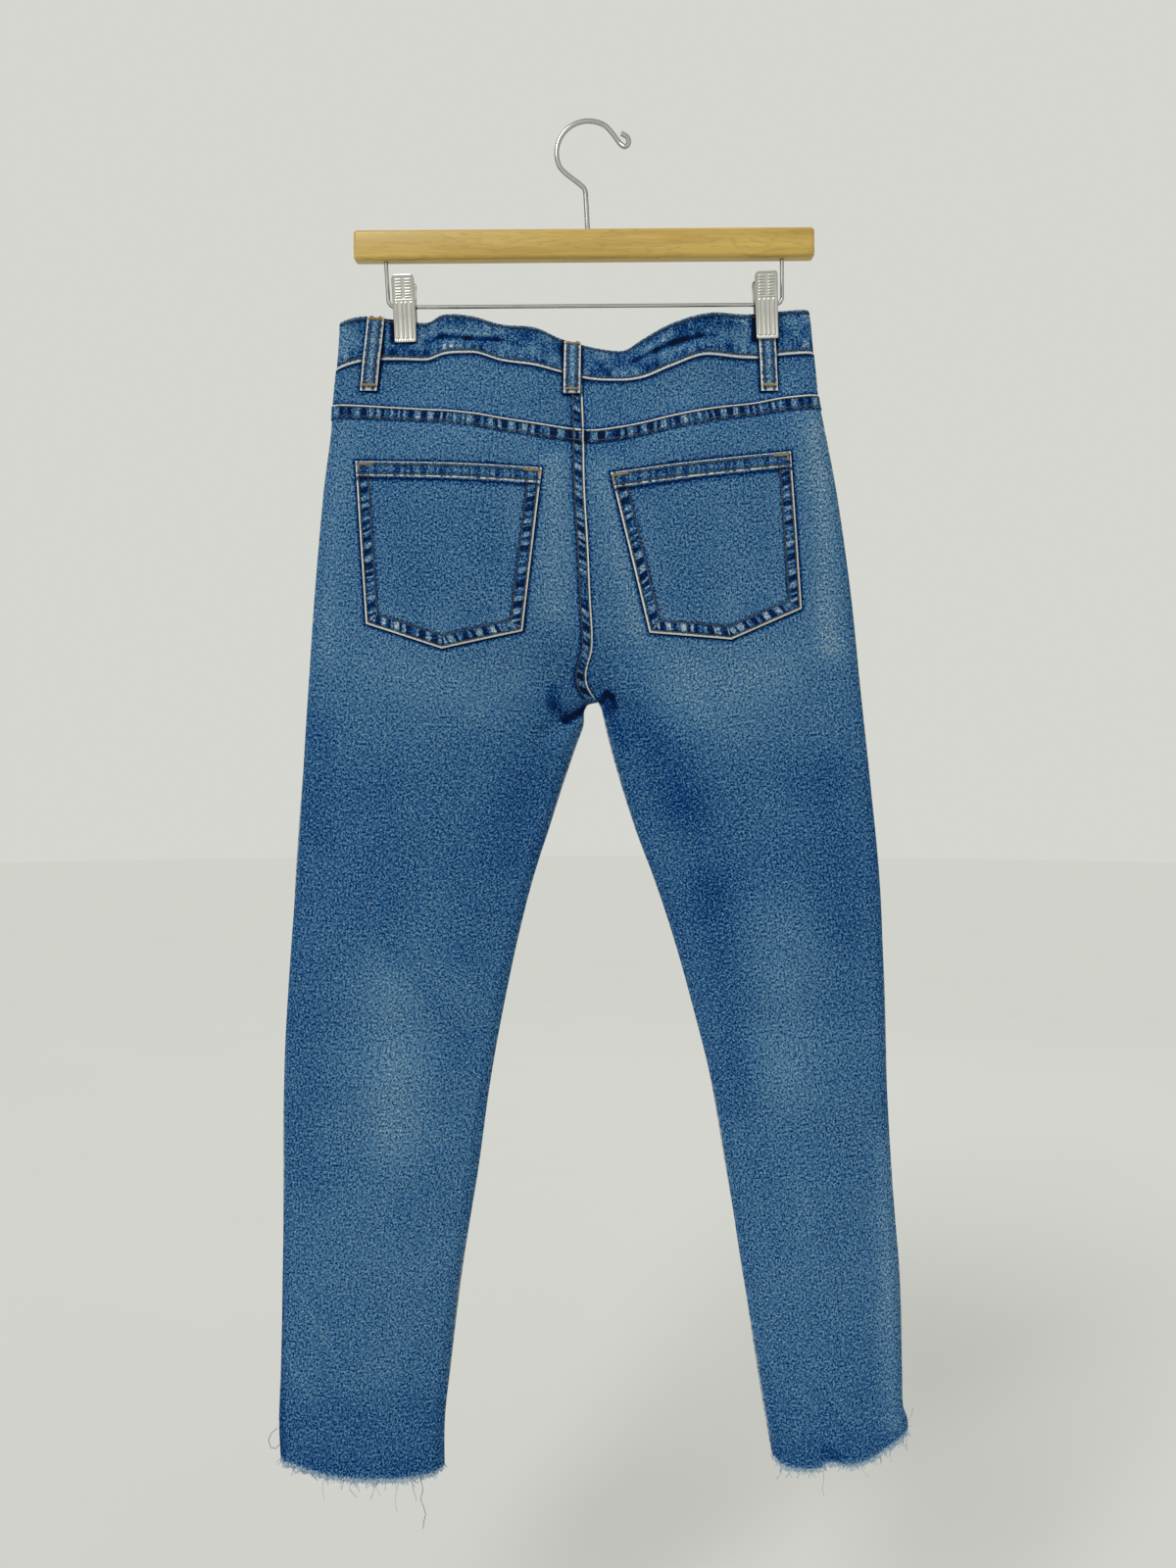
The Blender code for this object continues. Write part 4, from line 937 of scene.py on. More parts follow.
def denim_weave_group():
    """Washed twill: speckled warp threads, fine diagonals and cloudy fading, by a tone at each point, with a
    painted shadow beside laid-on pieces and painted near-black shade where the tone is deepest.
    """
    colour, number = "NodeSocketColor", "NodeSocketFloat"
    group, given, out = shader_group(
        "Denim weave",
        [
            ("Vector", "NodeSocketVector", (0, 0, 0)), ("Tone", number, 0.0), ("Rope", number, 0.0),
            ("Run", number, 0.0), ("Beside", number, 40.0), ("Speckle", number, 0.5),
            ("Dark", colour, rgba((0, 0, 0))), ("Middle", colour, rgba((0, 0, 0))),
            ("Pale", colour, rgba((1, 1, 1))), ("Worn", colour, rgba((1, 1, 1))),
        ],
        [("Color", colour), ("Height", number), ("Roughness", number)],
    )
    grain_space = node(
        group, "ShaderNodeMapping", (-1150, 300), {"Vector": given["Vector"], "Scale": (1.0, 0.85, 1.0)},
    ).outputs[0]
    grain = node(
        group, "ShaderNodeTexNoise", (-950, 300),
        {"Vector": grain_space, "Scale": 640.0, "Detail": 3.0, "Roughness": 0.85},
    ).outputs["Fac"]
    slub_space = node(
        group, "ShaderNodeMapping", (-1150, 60), {"Vector": given["Vector"], "Scale": (1.0, 0.07, 1.0)},
    ).outputs[0]
    slub = node(
        group, "ShaderNodeTexNoise", (-950, 60),
        {"Vector": slub_space, "Scale": 520.0, "Detail": 1.0, "Roughness": 0.5},
    ).outputs["Fac"]
    cloud = node(
        group, "ShaderNodeTexNoise", (-950, -180),
        {"Vector": given["Vector"], "Scale": 26.0, "Detail": 4.0, "Roughness": 0.6},
    ).outputs["Fac"]
    twill_space = node(
        group, "ShaderNodeMapping", (-1150, -420),
        {"Vector": given["Vector"], "Rotation": (0.0, 0.0, math.radians(-63))},
    ).outputs[0]
    twill = node(
        group, "ShaderNodeTexWave", (-950, -420),
        {"Vector": twill_space, "Scale": 190.0, "Distortion": 1.2, "Detail": 1.0, "Detail Scale": 2.0},
        wave_type="BANDS", bands_direction="X",
    ).outputs["Fac"]
    speckle = maths(group, (-700, 300), "MULTIPLY", maths(
        group, (-720, 320), "SUBTRACT", grain, 0.5), given["Speckle"])
    lean = maths(group, (-700, 60), "MULTIPLY", maths(group, (-720, 80), "SUBTRACT", slub, 0.5), 0.22)
    wash_out = maths(group, (-700, -180), "MULTIPLY", maths(
        group, (-720, -160), "SUBTRACT", cloud, 0.5), 0.22)
    lines = maths(group, (-700, -420), "MULTIPLY", maths(
        group, (-720, -400), "SUBTRACT", twill, 0.5), 0.10)
    bars = node(
        group, "ShaderNodeTexNoise", (-950, 560),
        {"W": maths(group, (-1100, 560), "MULTIPLY_ADD", cloud, 7.0, given["Run"]),
         "Scale": 0.19, "Detail": 1.0, "Roughness": 0.4}, noise_dimensions="1D",
    ).outputs["Fac"]
    bars = maths(group, (-600, 560), "MULTIPLY", spread(
        group, (-750, 560), bars, 0.42, 0.58, -1.55, 0.66), given["Rope"])
    # Painted shadow beside each laid-on piece, from the Beside distance
    shade = maths(group, (-600, 740), "POWER", spread(
        group, (-750, 740), given["Beside"], 0.0, 3.4, 1.0, 0.0), 1.4)
    roped = maths(group, (-550, 400), "MULTIPLY_ADD", bars, 0.95, maths(
        group, (-580, 480), "MULTIPLY_ADD", shade, -2.6, given["Tone"]))
    base = maths(group, (-500, 200), "MULTIPLY_ADD", roped, 0.5, 0.5)
    tone = maths(group, (-300, 100), "ADD", maths(group, (-400, 150), "ADD", base, speckle), maths(
        group, (-400, -100), "ADD", maths(group, (-450, -60), "ADD", lean, wash_out), lines))
    low = blended(group, (0, 300), spread(group, (-150, 320), tone, 0.0, 0.42, 0.0, 1.0),
                  given["Dark"], given["Middle"])
    high = blended(group, (200, 200), spread(group, (0, 120), tone, 0.42, 0.80, 0.0, 1.0),
                   low, given["Pale"])
    rubbed = spread(group, (200, 0), maths(
        group, (50, 0), "MULTIPLY_ADD", speckle, 0.3, base), 0.78, 1.12, 0.0, 1.0)
    flecked = spread(group, (200, -80), tone, 0.85, 1.90, 0.0, 0.36)
    worn = blended(
        group, (400, 100), maths(group, (300, 0), "MAXIMUM", rubbed, flecked), high, given["Worn"])
    cast = node(
        group, "ShaderNodeTexNoise", (200, 420),
        {"Vector": given["Vector"], "Scale": 820.0, "Detail": 2.0, "Roughness": 0.6},
    ).outputs["Fac"]
    worn = node(
        group, "ShaderNodeHueSaturation", (600, 200),
        {"Color": worn, "Hue": spread(group, (400, 420), cast, 0.3, 0.7, 0.468, 0.532)},
    ).outputs["Color"]
    weave = maths(group, (400, -200), "ADD", maths(
        group, (300, -160), "MULTIPLY", grain, 0.35), maths(group, (300, -260), "MULTIPLY", twill, 0.12))
    height = maths(group, (500, -200), "MULTIPLY_ADD", bars, 0.5, weave)
    # Painted near-black shade where the tone is deepest, in hollows, creases and beside laid-on pieces
    hollow = blended(
        group, (750, 200), spread(group, (600, 400), roped, -0.9, -2.2, 0.0, 0.92), worn,
        rgba((0.003, 0.006, 0.013)))
    group.links.new(hollow, out["Color"])
    group.links.new(height, out["Height"])
    group.links.new(spread(group, (400, -400), tone, 0.0, 1.0, 0.94, 0.82), out["Roughness"])
    return group


def new_material(name):
    made = bpy.data.materials.new(name)
    made.use_nodes = True
    tree = made.node_tree
    shader = tree.nodes["Principled BSDF"]
    return made, tree, shader


def bump_into(tree, shader, height, strength, distance):
    bump = node(
        tree, "ShaderNodeBump", (-250, -300),
        {"Height": height, "Strength": strength, "Distance": distance},
    )
    tree.links.new(bump.outputs[0], shader.inputs["Normal"])


def denim_material(name, group, dark, middle, pale, worn, speckle, tone_share):
    made, tree, shader = new_material(name)
    weave_map = node(tree, "ShaderNodeUVMap", (-1100, 100), uv_map="weave").outputs[0]
    tone = node(tree, "ShaderNodeAttribute", (-1100, -150), attribute_name="tone").outputs["Fac"]
    weave = node(tree, "ShaderNodeGroup", (-700, 0), node_tree=group)
    tree.links.new(weave_map, weave.inputs["Vector"])
    tree.links.new(maths(tree, (-900, -150), "MULTIPLY", tone, tone_share), weave.inputs["Tone"])
    for label, mark in (("Rope", "rope"), ("Run", "run"), ("Beside", "beside")):
        drawn = node(tree, "ShaderNodeAttribute", (-1100, -350), attribute_name=mark).outputs["Fac"]
        tree.links.new(drawn, weave.inputs[label])
    weave.inputs["Speckle"].default_value = speckle
    for label, colour in (("Dark", dark), ("Middle", middle), ("Pale", pale), ("Worn", worn)):
        weave.inputs[label].default_value = rgba(colour)
    tree.links.new(weave.outputs["Color"], shader.inputs["Base Color"])
    tree.links.new(weave.outputs["Roughness"], shader.inputs["Roughness"])
    shader.inputs["Specular IOR Level"].default_value = 0.03
    bump_into(tree, shader, weave.outputs["Height"], 0.8, 0.0008)
    return made


def object_noise(tree, scale, stretch=(1.0, 1.0, 1.0), detail=2.0, roughness=0.5, place=(-900, 0)):
    space = node(tree, "ShaderNodeTexCoord", (place[0] - 400, place[1])).outputs["Object"]
    stretched = node(
        tree, "ShaderNodeMapping", (place[0] - 200, place[1]), {"Vector": space, "Scale": stretch},
    ).outputs[0]
    return node(
        tree, "ShaderNodeTexNoise", place,
        {"Vector": stretched, "Scale": scale, "Detail": detail, "Roughness": roughness},
    ).outputs["Fac"]


def thread_material(name, dark, pale, scale=420.0):
    """Twisted cotton, lighter and darker from stitch to stitch."""
    made, tree, shader = new_material(name)
    uneven = object_noise(tree, scale, detail=3.0, roughness=0.7)
    share = spread(tree, (-650, 150), uneven, 0.3, 0.7, 0.0, 1.0)
    tint = blended(tree, (-450, 150), share, rgba(dark), rgba(pale))
    tree.links.new(tint, shader.inputs["Base Color"])
    twist = object_noise(tree, 2600.0, place=(-900, -300))
    tree.links.new(spread(tree, (-500, -150), twist, 0.2, 0.8, 0.6, 0.85), shader.inputs["Roughness"])
    bump_into(tree, shader, twist, 0.4, 0.0001)
    return made


def wood_material(pale, dark):
    """Clear-lacquered maple: long faint grain along X, fine pores and cloudy figure."""
    made, tree, shader = new_material("Lacquered maple")
    figure = object_noise(tree, 16.0, (0.35, 3.0, 3.0), 4.0, 0.6, (-900, 300))
    grain = object_noise(tree, 210.0, (0.045, 1.0, 1.0), 3.0, 0.65, (-900, 50))
    pores = object_noise(tree, 900.0, (0.03, 1.0, 1.0), 2.0, 0.5, (-900, -250))
    share = maths(tree, (-600, 200), "ADD", maths(tree, (-700, 260), "MULTIPLY", figure, 0.55), maths(
        tree, (-700, 120), "MULTIPLY", grain, 0.45))
    share = spread(tree, (-480, 200), share, 0.36, 0.66, 0.0, 1.0)
    tint = blended(tree, (-350, 200), share, rgba(dark), rgba(pale))
    rings = maths(tree, (-600, 420), "SINE", maths(tree, (-750, 420), "MULTIPLY_ADD", figure, 85.0, grain))
    tint = blended(tree, (-280, 250), spread(tree, (-450, 420), rings, 0.55, 1.0, 0.0, 0.30), tint,
                   rgba(tuple(0.62 * part for part in dark)))
    marked = blended(tree, (-200, 100), spread(tree, (-480, -200), pores, 0.62, 0.78, 0.0, 0.35), tint,
                     rgba(tuple(0.45 * part for part in dark)))
    tree.links.new(marked, shader.inputs["Base Color"])
    tree.links.new(spread(tree, (-300, -100), grain, 0.2, 0.8, 0.34, 0.5), shader.inputs["Roughness"])
    shader.inputs["Coat Weight"].default_value = 0.25
    shader.inputs["Coat Roughness"].default_value = 0.2
    bump_into(tree, shader, grain, 0.12, 0.0004)
    return made


def metal_material(name, colour, shadow, smooth, rough, bump=0.05, edge=0.0, hollow=0.0):
    """Plated or turned metal with faint smears, painted dark reflection towards its grazing edges and
    painted shade on the slopes of its pressed relief.
    """
    made, tree, shader = new_material(name)
    smears = object_noise(tree, 150.0, detail=4.0, roughness=0.65, place=(-900, 200))
    fine = object_noise(tree, 1600.0, detail=2.0, place=(-900, -200))
    share = spread(tree, (-650, 200), smears, 0.52, 0.80, 0.0, 0.75)
    tint = blended(tree, (-500, 200), share, rgba(colour), rgba(shadow))
    shade_colour = rgba(tuple(0.16 * part for part in colour))
    # Painted dark reflection towards the grazing edges, as strong as `edge` gives
    facing = node(tree, "ShaderNodeLayerWeight", (-700, 500), {"Blend": 0.5}).outputs["Facing"]
    turned = spread(tree, (-500, 500), facing, 0.14, 0.58, 0.0, edge)
    # Painted shade on the slopes of the pressed relief, from the `pressed` marks, as strong as `hollow`
    # gives
    pressed = node(tree, "ShaderNodeAttribute", (-700, 700), attribute_name="pressed").outputs["Fac"]
    tint = blended(tree, (-350, 300), turned, tint, shade_colour)
    tint = blended(tree, (-200, 300), maths(tree, (-500, 700), "MULTIPLY", pressed, hollow), tint, shade_colour)
    tree.links.new(tint, shader.inputs["Base Color"])
    tree.links.new(spread(tree, (-500, 0), smears, 0.25, 0.75, smooth, rough), shader.inputs["Roughness"])
    shader.inputs["Metallic"].default_value = 1.0
    bump_into(tree, shader, fine, bump, 0.0001)
    return made


def make_finishes(context):
    cloth, thread, hanger = context.scene.jeans_cloth, context.scene.jeans_thread, context.scene.jeans_hanger
    weave = denim_weave_group()
    FINISH["denim"] = denim_material(
        "Washed denim", weave, cloth.dark, cloth.middle, cloth.pale, cloth.worn, cloth.speckle, 1.0)
    FINISH["denim_inside"] = denim_material(
        "Denim reverse", weave, cloth.reverse_dark, cloth.reverse_pale, cloth.reverse_pale, cloth.worn,
        cloth.speckle * 0.8, 0.4)
    FINISH["seam_thread"] = thread_material("Seam thread", thread.seam_dark, thread.seam_pale)
    FINISH["bartack_thread"] = thread_material("Bartack thread", thread.tack_dark, thread.tack_pale)
    FINISH["frayed"] = thread_material("Frayed cotton", thread.fray_blue, thread.fray_pale, 300.0)
    FINISH["wood"] = wood_material(hanger.wood_pale, hanger.wood_dark)
    # `edge` paints dark reflection towards grazing edges; `hollow` paints shade on the clips' pressed relief
    FINISH["steel"] = metal_material(
        "Bright wire", hanger.steel, (0.30, 0.30, 0.30), 0.12, 0.26, 0.02, edge=0.95)
    FINISH["clip"] = metal_material(
        "Plated sheet", hanger.plate, (0.46, 0.45, 0.42), 0.24, 0.42, 0.04, edge=0.6, hollow=0.85)
    FINISH["button"] = metal_material("Tack button", (0.52, 0.5, 0.46), (0.2, 0.19, 0.17), 0.3, 0.5, 0.15)
    FINISH["brass"] = metal_material("Zip brass", (0.62, 0.46, 0.2), (0.3, 0.22, 0.1), 0.3, 0.5, 0.1)


# What a user may change

def colour_setting(name, description, default):
    return FloatVectorProperty(
        name=name, description=description, subtype="COLOR", size=3, min=0, max=1, default=default)


def length_setting(name, description, default, low, high, precision=4):
    return FloatProperty(
        name=name, description=description, subtype="DISTANCE", unit="LENGTH",
        default=default, min=low, max=high, precision=precision)


class JeansCloth(PropertyGroup):
    dark: colour_setting("Dark", "Darkest speckles of the washed denim", (0.0004, 0.0105, 0.082))
    middle: colour_setting("Middle", "The denim's usual blue", (0.002, 0.077, 0.234))
    pale: colour_setting("Pale", "The denim where it is faded", (0.100, 0.220, 0.326))
    worn: colour_setting("Worn", "Folded edges worn to the white core", (0.66, 0.66, 0.62))
    reverse_dark: colour_setting(
        "Reverse dark", "Darker threads on the cloth's inner face", (0.10, 0.15, 0.22))
    reverse_pale: colour_setting(
        "Reverse pale", "Paler threads on the cloth's inner face", (0.36, 0.42, 0.48))
    speckle: FloatProperty(
        name="Speckle", description="How far the warp threads vary in tone", default=6.0, min=0, max=12)
    spacing: length_setting(
        "Mesh spacing", "Distance between the cloth's mesh lines", 0.0025, 0.002, 0.02)
    ripple: length_setting("Ripple", "Height of the slow ripples over the cloth", 0.0004, 0, 0.002)
    stitch_pitch: length_setting(
        "Stitch pitch", "From the start of one stitch to the next", 0.0033, 0.002, 0.01)
    stitch_length: length_setting(
        "Stitch length", "Length of thread that shows in one stitch", 0.0027, 0.001, 0.01)


class JeansThread(PropertyGroup):
    seam_dark: colour_setting(
        "Seam thread dark", "Darker tone of the olive-brown seam thread", (0.014, 0.014, 0.008))
    seam_pale: colour_setting(
        "Seam thread pale", "Paler tone of the olive-brown seam thread", (0.074, 0.066, 0.034))
    tack_dark: colour_setting(
        "Bartack dark", "Darker tone of the golden bartacks", (0.20, 0.105, 0.020))
    tack_pale: colour_setting("Bartack pale", "Paler tone of the golden bartacks", (0.48, 0.29, 0.06))
    fray_blue: colour_setting("Fray blue", "Blue threads of the raw hems", (0.11, 0.21, 0.34))
    fray_pale: colour_setting("Fray pale", "Pale threads of the raw hems", (0.52, 0.60, 0.66))
    thickness: length_setting("Seam thread", "Thickness of the seam thread", 0.0009, 0.0003, 0.002)
    tack_thickness: length_setting(
        "Bartack thread", "Thickness of the bartacks' thread", 0.0006, 0.0003, 0.002)
    fray_thickness: length_setting(
        "Frayed thread", "Thickness of the frayed threads", 0.00055, 0.0002, 0.002, 5)
    fray_length: length_setting("Fray length", "Usual length of the frayed threads", 0.0030, 0, 0.02)
    fray_count: IntProperty(
        name="Frayed threads", description="Frayed threads round each hem", default=1300, min=10, max=2000)


class JeansHanger(PropertyGroup):
    wood_pale: colour_setting("Wood pale", "Pale grain of the hanger's bar", (0.59, 0.41, 0.095))
    wood_dark: colour_setting("Wood dark", "Darker grain of the hanger's bar", (0.43, 0.27, 0.045))
    steel: colour_setting("Steel", "Polished wire of the hook and the clip rail", (0.56, 0.56, 0.55))
    plate: colour_setting("Clip plate", "Plated sheet of the clips", (0.66, 0.65, 0.61))


class JeansStage(PropertyGroup):
    floor: colour_setting("Floor", "Colour of the plain floor", (0.679, 0.684, 0.670))
    surround: colour_setting("Surround", "Colour of the light from all round", (0.668, 0.676, 0.628))
    key_power: FloatProperty(
        name="Key light", description="Strength of the wide soft light, in watts a square metre",
        default=1.5, min=0)
    fill_power: FloatProperty(
        name="Far light", description="Power of the soft light behind, in watts", default=3.0, min=0)


# Legs, yokes and facings

EDGE_STEPS = (0.0, 0.25, 0.9, 2.0, 3.5, 5.3, 7.3, EDGE_RADIUS)


def fine_columns(lap=False):
    """For each column its distance from the outer edge, from the inner edge, and its share."""
    spacing = bpy.context.scene.jeans_cloth.spacing / MM
    steps_in = EDGE_STEPS + ((SEAT_LAP + LAP_EDGE,) if lap else ())
    shares = np.linspace(0, 1, int(175 / spacing) + 2)[1:-1]
    columns = [(step, 0.0, 0.0) for step in EDGE_STEPS]
    columns += [(EDGE_RADIUS, steps_in[-1], share) for share in shares]
    columns += [(0.0, step, 1.0) for step in reversed(steps_in)]
    return np.array(columns)


def fine_levels(top, foot):
    """Heights down a panel's inner edge, close together at its top, crotch and hem."""
    spacing = bpy.context.scene.jeans_cloth.spacing / MM
    steps = [0, 0.5, 1.2, 2.2, 3.4, 4.6, 5.8, 7.0, 8.2, 9.4, 10.4, BACK_LAP, 11.6, 12.4]
    above = np.arange(top - steps[-1] - spacing, CROTCH_Z + 4.0, -spacing)
    crotch = CROTCH_Z - np.array([-3.0, -1.5, 0, 0.4, 0.8, 1.3, 2.1, 3.0, 4.0, 6.0, 8.5])
    below = np.arange(CROTCH_Z - 11.5, foot + 6.0, -spacing * 1.35)
    last = foot + np.array([4.0, 2.4, 1.2, 0.5, 0.0])
    return np.concatenate([top - np.array(steps), above, crotch, below, last])


def panel_rows(top, hem):
    """Heights of a leg panel's grid: level drops under its top, then shared out to the hem."""
    levels = fine_levels(top[-1], hem[-1])
    drops = top[-1] - levels
    first = 12.4
    share = np.clip((drops - first) / (drops[-1] - first), 0, 1)[:, None]
    return np.where(drops[:, None] <= first, top - drops[:, None], mix(top - first, hem, share))


def ripple(side, x, z):
    """Slow low ripples that hanging cloth keeps."""
    height = bpy.context.scene.jeans_cloth.ripple / MM
    waves = np.sin(x / 21.0 + 0.6 * np.sin(z / 63.0) + side)
    waves += 0.8 * np.sin(z / 34.0 + 0.9 * np.sin(x / 47.0) - 2 * side)
    waves += 0.5 * np.sin((x - 0.7 * z) / 27.0 + 1.3 * side)
    return height * waves


def back_lap(leg, columns, z, top):
    """Height, tone, roping and run of the seams' laps over a back panel."""
    inside = top - z
    height, tone = lap_height(inside, BACK_LAP), lap_tone(inside, BACK_LAP)
    rope = lap_middle(inside, BACK_LAP)
    run = column_run(columns, leg) + 0 * z
    if leg == LEFT:
        seat, seat_tone, seat_rope, seat_run = seat_lap(columns, z)
        height = np.maximum(height, seat)
        run = np.where(seat_rope > rope, seat_run, run)
        rope = np.maximum(rope, seat_rope)
        tone = np.where(np.abs(seat_tone) > np.abs(tone), seat_tone, tone)
    else:
        tone = tone + seat_shadow(columns, z)
    return height, tone, rope, run


def column_run(columns, leg):
    x = column_x(BACK, leg, columns, np.full(len(columns), -230.0))
    return np.abs(x - x[0])


def seat_lap(columns, z):
    """The centre-back seam: the left side laps the right as far as the crotch."""
    inside = columns[:, 1] + 0 * z
    here = (columns[:, 2] == 1.0) * ease((z - CROTCH_Z) / 4)
    parts = (lap_height(inside, SEAT_LAP), lap_tone(inside, SEAT_LAP), lap_middle(inside, SEAT_LAP))
    return (*(np.where(here > 0, part * here, 0.0) for part in parts), 900 - z + 0.6 * inside)


def seat_shadow(columns, z):
    """The dark line on the right side, along the edge of the centre-back seam."""
    near = (columns[:, 2] == 1.0) & (z > CROTCH_Z)
    return np.where(near, -0.95 * line_at(columns[:, 1] + 0 * z, 1.7), 0.0)


def hem_heights(leg, columns):
    z = np.full(len(columns), -1050.0)
    x = column_x(BACK, leg, columns, z)
    share = (x - x[0]) / (x[-1] - x[0])
    ragged = 0.8 * roping(share * 160, 30 + leg, 1.6, 4.0)
    return along(HEMS, "share", "left" if leg == LEFT else "right", share) + ragged


def beside_pocket(leg, x, z):
    """Distance from the patch pocket's outline, less than nothing under it."""
    corners = POCKETS["pocket_back_left" if leg == LEFT else "pocket_back_right"]
    ring = np.stack([corners["x"], corners["z"]], axis=-1)
    gap = np.full(np.broadcast(x, z).shape, -40.0)
    for start, end in zip(ring, np.roll(ring, -1, axis=0)):
        way = (end - start) / np.linalg.norm(end - start)
        gap = np.maximum(gap, (z - start[1]) * way[0] - (x - start[0]) * way[1])
    return np.minimum(gap, 40.0)


def seam_edges(leg, columns, z):
    """Tone and roping of the side and inside leg seams, faintly worn along their folds."""
    outer = np.where(columns[:, 2] == 0, columns[:, 0], 40.0) + 0 * z
    inner = np.where((columns[:, 2] == 1) & (z < CROTCH_Z), columns[:, 1], 40.0)
    tone = 0.16 * line_at(outer, 2.2) + 0.22 * line_at(inner, 2.2)
    tone = tone - 0.14 * line_at(outer - 5, 2.5) - 0.14 * line_at(inner - 5, 2.5)
    return tone, 0.34 * line_at(outer, 2.4) + 0.30 * line_at(inner, 2.4)


def beside_strips(side, x, z):
    """Distance from the nearest belt loop or clip on this side, less than nothing under it."""
    strips = [(place, place, WIRE_Z + CLIP_TIP, CLIP_WIDTH) for place in CLIP_X.values()]
    strips += [
        (loop["top"], loop["foot"], loop["foot_z"], LOOP_WIDTH)
        for loop in LOOPS.values() if loop["side"] == side
    ]
    gap = np.full(np.broadcast(x, z).shape, 40.0)
    for top, foot, foot_z, width in strips:
        beyond = np.abs(x - mix(top, foot, np.clip((-155 - z) / LOOP_LENGTH, 0, 1))) - width / 2
        gap = np.minimum(gap, np.maximum(beyond, foot_z - z))
    return gap


def panel(name, side, leg, z, columns, marks, replaced):
    relief, tone, rope, run = marks
    x = np.array([column_x(side, leg, columns, row) for row in z])
    relief = relief + ripple(side, x, z)
    outer = cloth(side, leg, x, z, relief)
    inner = cloth(side, leg, x, z, ripple(side, x, z) - WALL)
    edge_tone, edge_rope = seam_edges(leg, columns, z)
    tone = tone + wash_and_shade(side, x, z) + edge_tone + 0.85 * line_at(z - z[-1], 2.2)
    run = np.where(edge_rope > rope, 1900 - z, run)
    # Distances to the laid-on pieces, beside which the denim paints a shadow
    beside = beside_strips(side, x, z)
    if side == BACK:
        beside = np.minimum(beside, beside_pocket(leg, x, z))
    rope = np.maximum(rope, edge_rope)
    return cloth_piece(name, outer, inner, tone, rope, run, (replaced,), beside=beside)


class JEANS_OT_legs(Operator):
    """Build the back and front panels of both legs as fine worn cloth"""
    bl_idname = "jeans.legs"
    bl_label = "Legs"

    def execute(self, context):
        for leg, word in ((LEFT, "left"), (RIGHT, "right")):
            columns = fine_columns(leg == LEFT)
            top = seam_row(BACK, leg, columns, "yoke_foot", SEAM_GAP / 2)[1]
            z = panel_rows(top, hem_heights(leg, columns))
            marks = back_lap(leg, columns, z, top)
            panel("denim_back_" + word, BACK, leg, z, columns, marks, "back_" + word)

            columns = fine_columns()
            top_x, top = seam_row(FRONT, leg, columns, "band_foot", SEAM_GAP / 2)
            top = top - scoop(leg, top_x, top)
            z = panel_rows(top, hem_heights(leg, columns))
            inside, near = top - z, np.where(top_x * leg > 62, 1.0, 0.0)
            relief = -0.5 * LAP_RISE * near * (1 - ease(inside / 0.9))
            # Painted shadows: under the band's foot where the top is not lapped, and along the centre seam
            # above the crotch
            tone = lap_tone(inside, 9.0) * near - 0.5 * line_at(inside, 2.5) * (1 - near)
            at_seat = (columns[:, 2] == 1.0) & (z > CROTCH_Z)
            tone = tone + np.where(at_seat, -0.6 * line_at(columns[:, 1] + 0 * z, 1.4), 0.0)
            marks = (relief, tone, lap_middle(inside, 9.0) * near, np.abs(top_x - top_x[0]) + 0 * z)
            panel("denim_front_" + word, FRONT, leg, z, columns, marks, "front_" + word)
        return {"FINISHED"}


class JEANS_OT_yokes(Operator):
    """Build the back yokes and the front pocket facings"""
    bl_idname = "jeans.yokes"
    bl_label = "Yokes and facings"

    def execute(self, context):
        for leg, word in ((LEFT, "left"), (RIGHT, "right")):
            columns = fine_columns(leg == LEFT)
            top_x, top_z = seam_row(BACK, leg, columns, "band_foot", SEAM_GAP / 2)
            foot_x, foot_z = seam_row(BACK, leg, columns, "yoke_foot", -SEAM_GAP / 2)
            share = np.concatenate([[0, 0.02, 0.05], np.linspace(0.1, 0.94, 15), [0.97, 1.0]])[:, None]
            x, z = mix(top_x, foot_x, share), mix(top_z, foot_z, share)
            relief, rope, run = np.zeros_like(z), np.zeros_like(z), 900 - z
            tone = wash_and_shade(BACK, x, z)
            beside = beside_strips(BACK, x, z)
            if leg == LEFT:
                relief, seat_tone, rope, run = seat_lap(columns, z)
                tone = tone + seat_tone
            else:
                tone = tone + seat_shadow(columns, z)
            edge_tone, edge_rope = seam_edges(leg, columns, z)
            # Painted shadows: under the waistband along the yoke's top, and above the back panel's lapped
            # edge along its foot
            tone = tone - 2.00 * line_at(top_z - z, 2.2) - 1.30 * line_at(z - foot_z, 1.4) + edge_tone
            tone = tone + 0.12 * patches(x, 70 + leg) * line_at(z - foot_z - 8, 9)
            relief = relief + ripple(BACK, x, z)
            outer = cloth(BACK, leg, x, z, relief)
            inner = cloth(BACK, leg, x, z, ripple(BACK, x, z) - WALL)
            cloth_piece(
                "denim_yoke_" + word, outer, inner, tone, np.maximum(rope, edge_rope), run,
                ("yoke_" + word,), beside=beside)

            across = np.concatenate([EDGE_STEPS, np.linspace(13, 116, 34)])
            x = side_edge(leg, -195.0) - leg * across
            top = seam_height(FRONT, "band_foot", x) - FACING_DROP
            depth = np.maximum(scoop(leg, x, top), 4.0) + SCOOP_LAP * ease((across - 2) / 16)
            depth[across < 2] -= 1.0
            z = top - np.linspace(0, 1, 28)[:, None] * depth
            x = side_edge(leg, z) - leg * across
            outer = cloth(FRONT, leg, x, z, -WALL - LAID_GAP)
            inner = cloth(FRONT, leg, x, z, -2 * WALL - LAID_GAP)
            # A painted shadow under the band along the facing's top
            tone = -0.10 + wash_and_shade(FRONT, x, z) - 0.45 * line_at(top - z, 3.0)
            cloth_piece("denim_facing_" + word, outer, inner, tone, 0.0, 0.0, ("facing_" + word,))
        return {"FINISHED"}


# Waistband

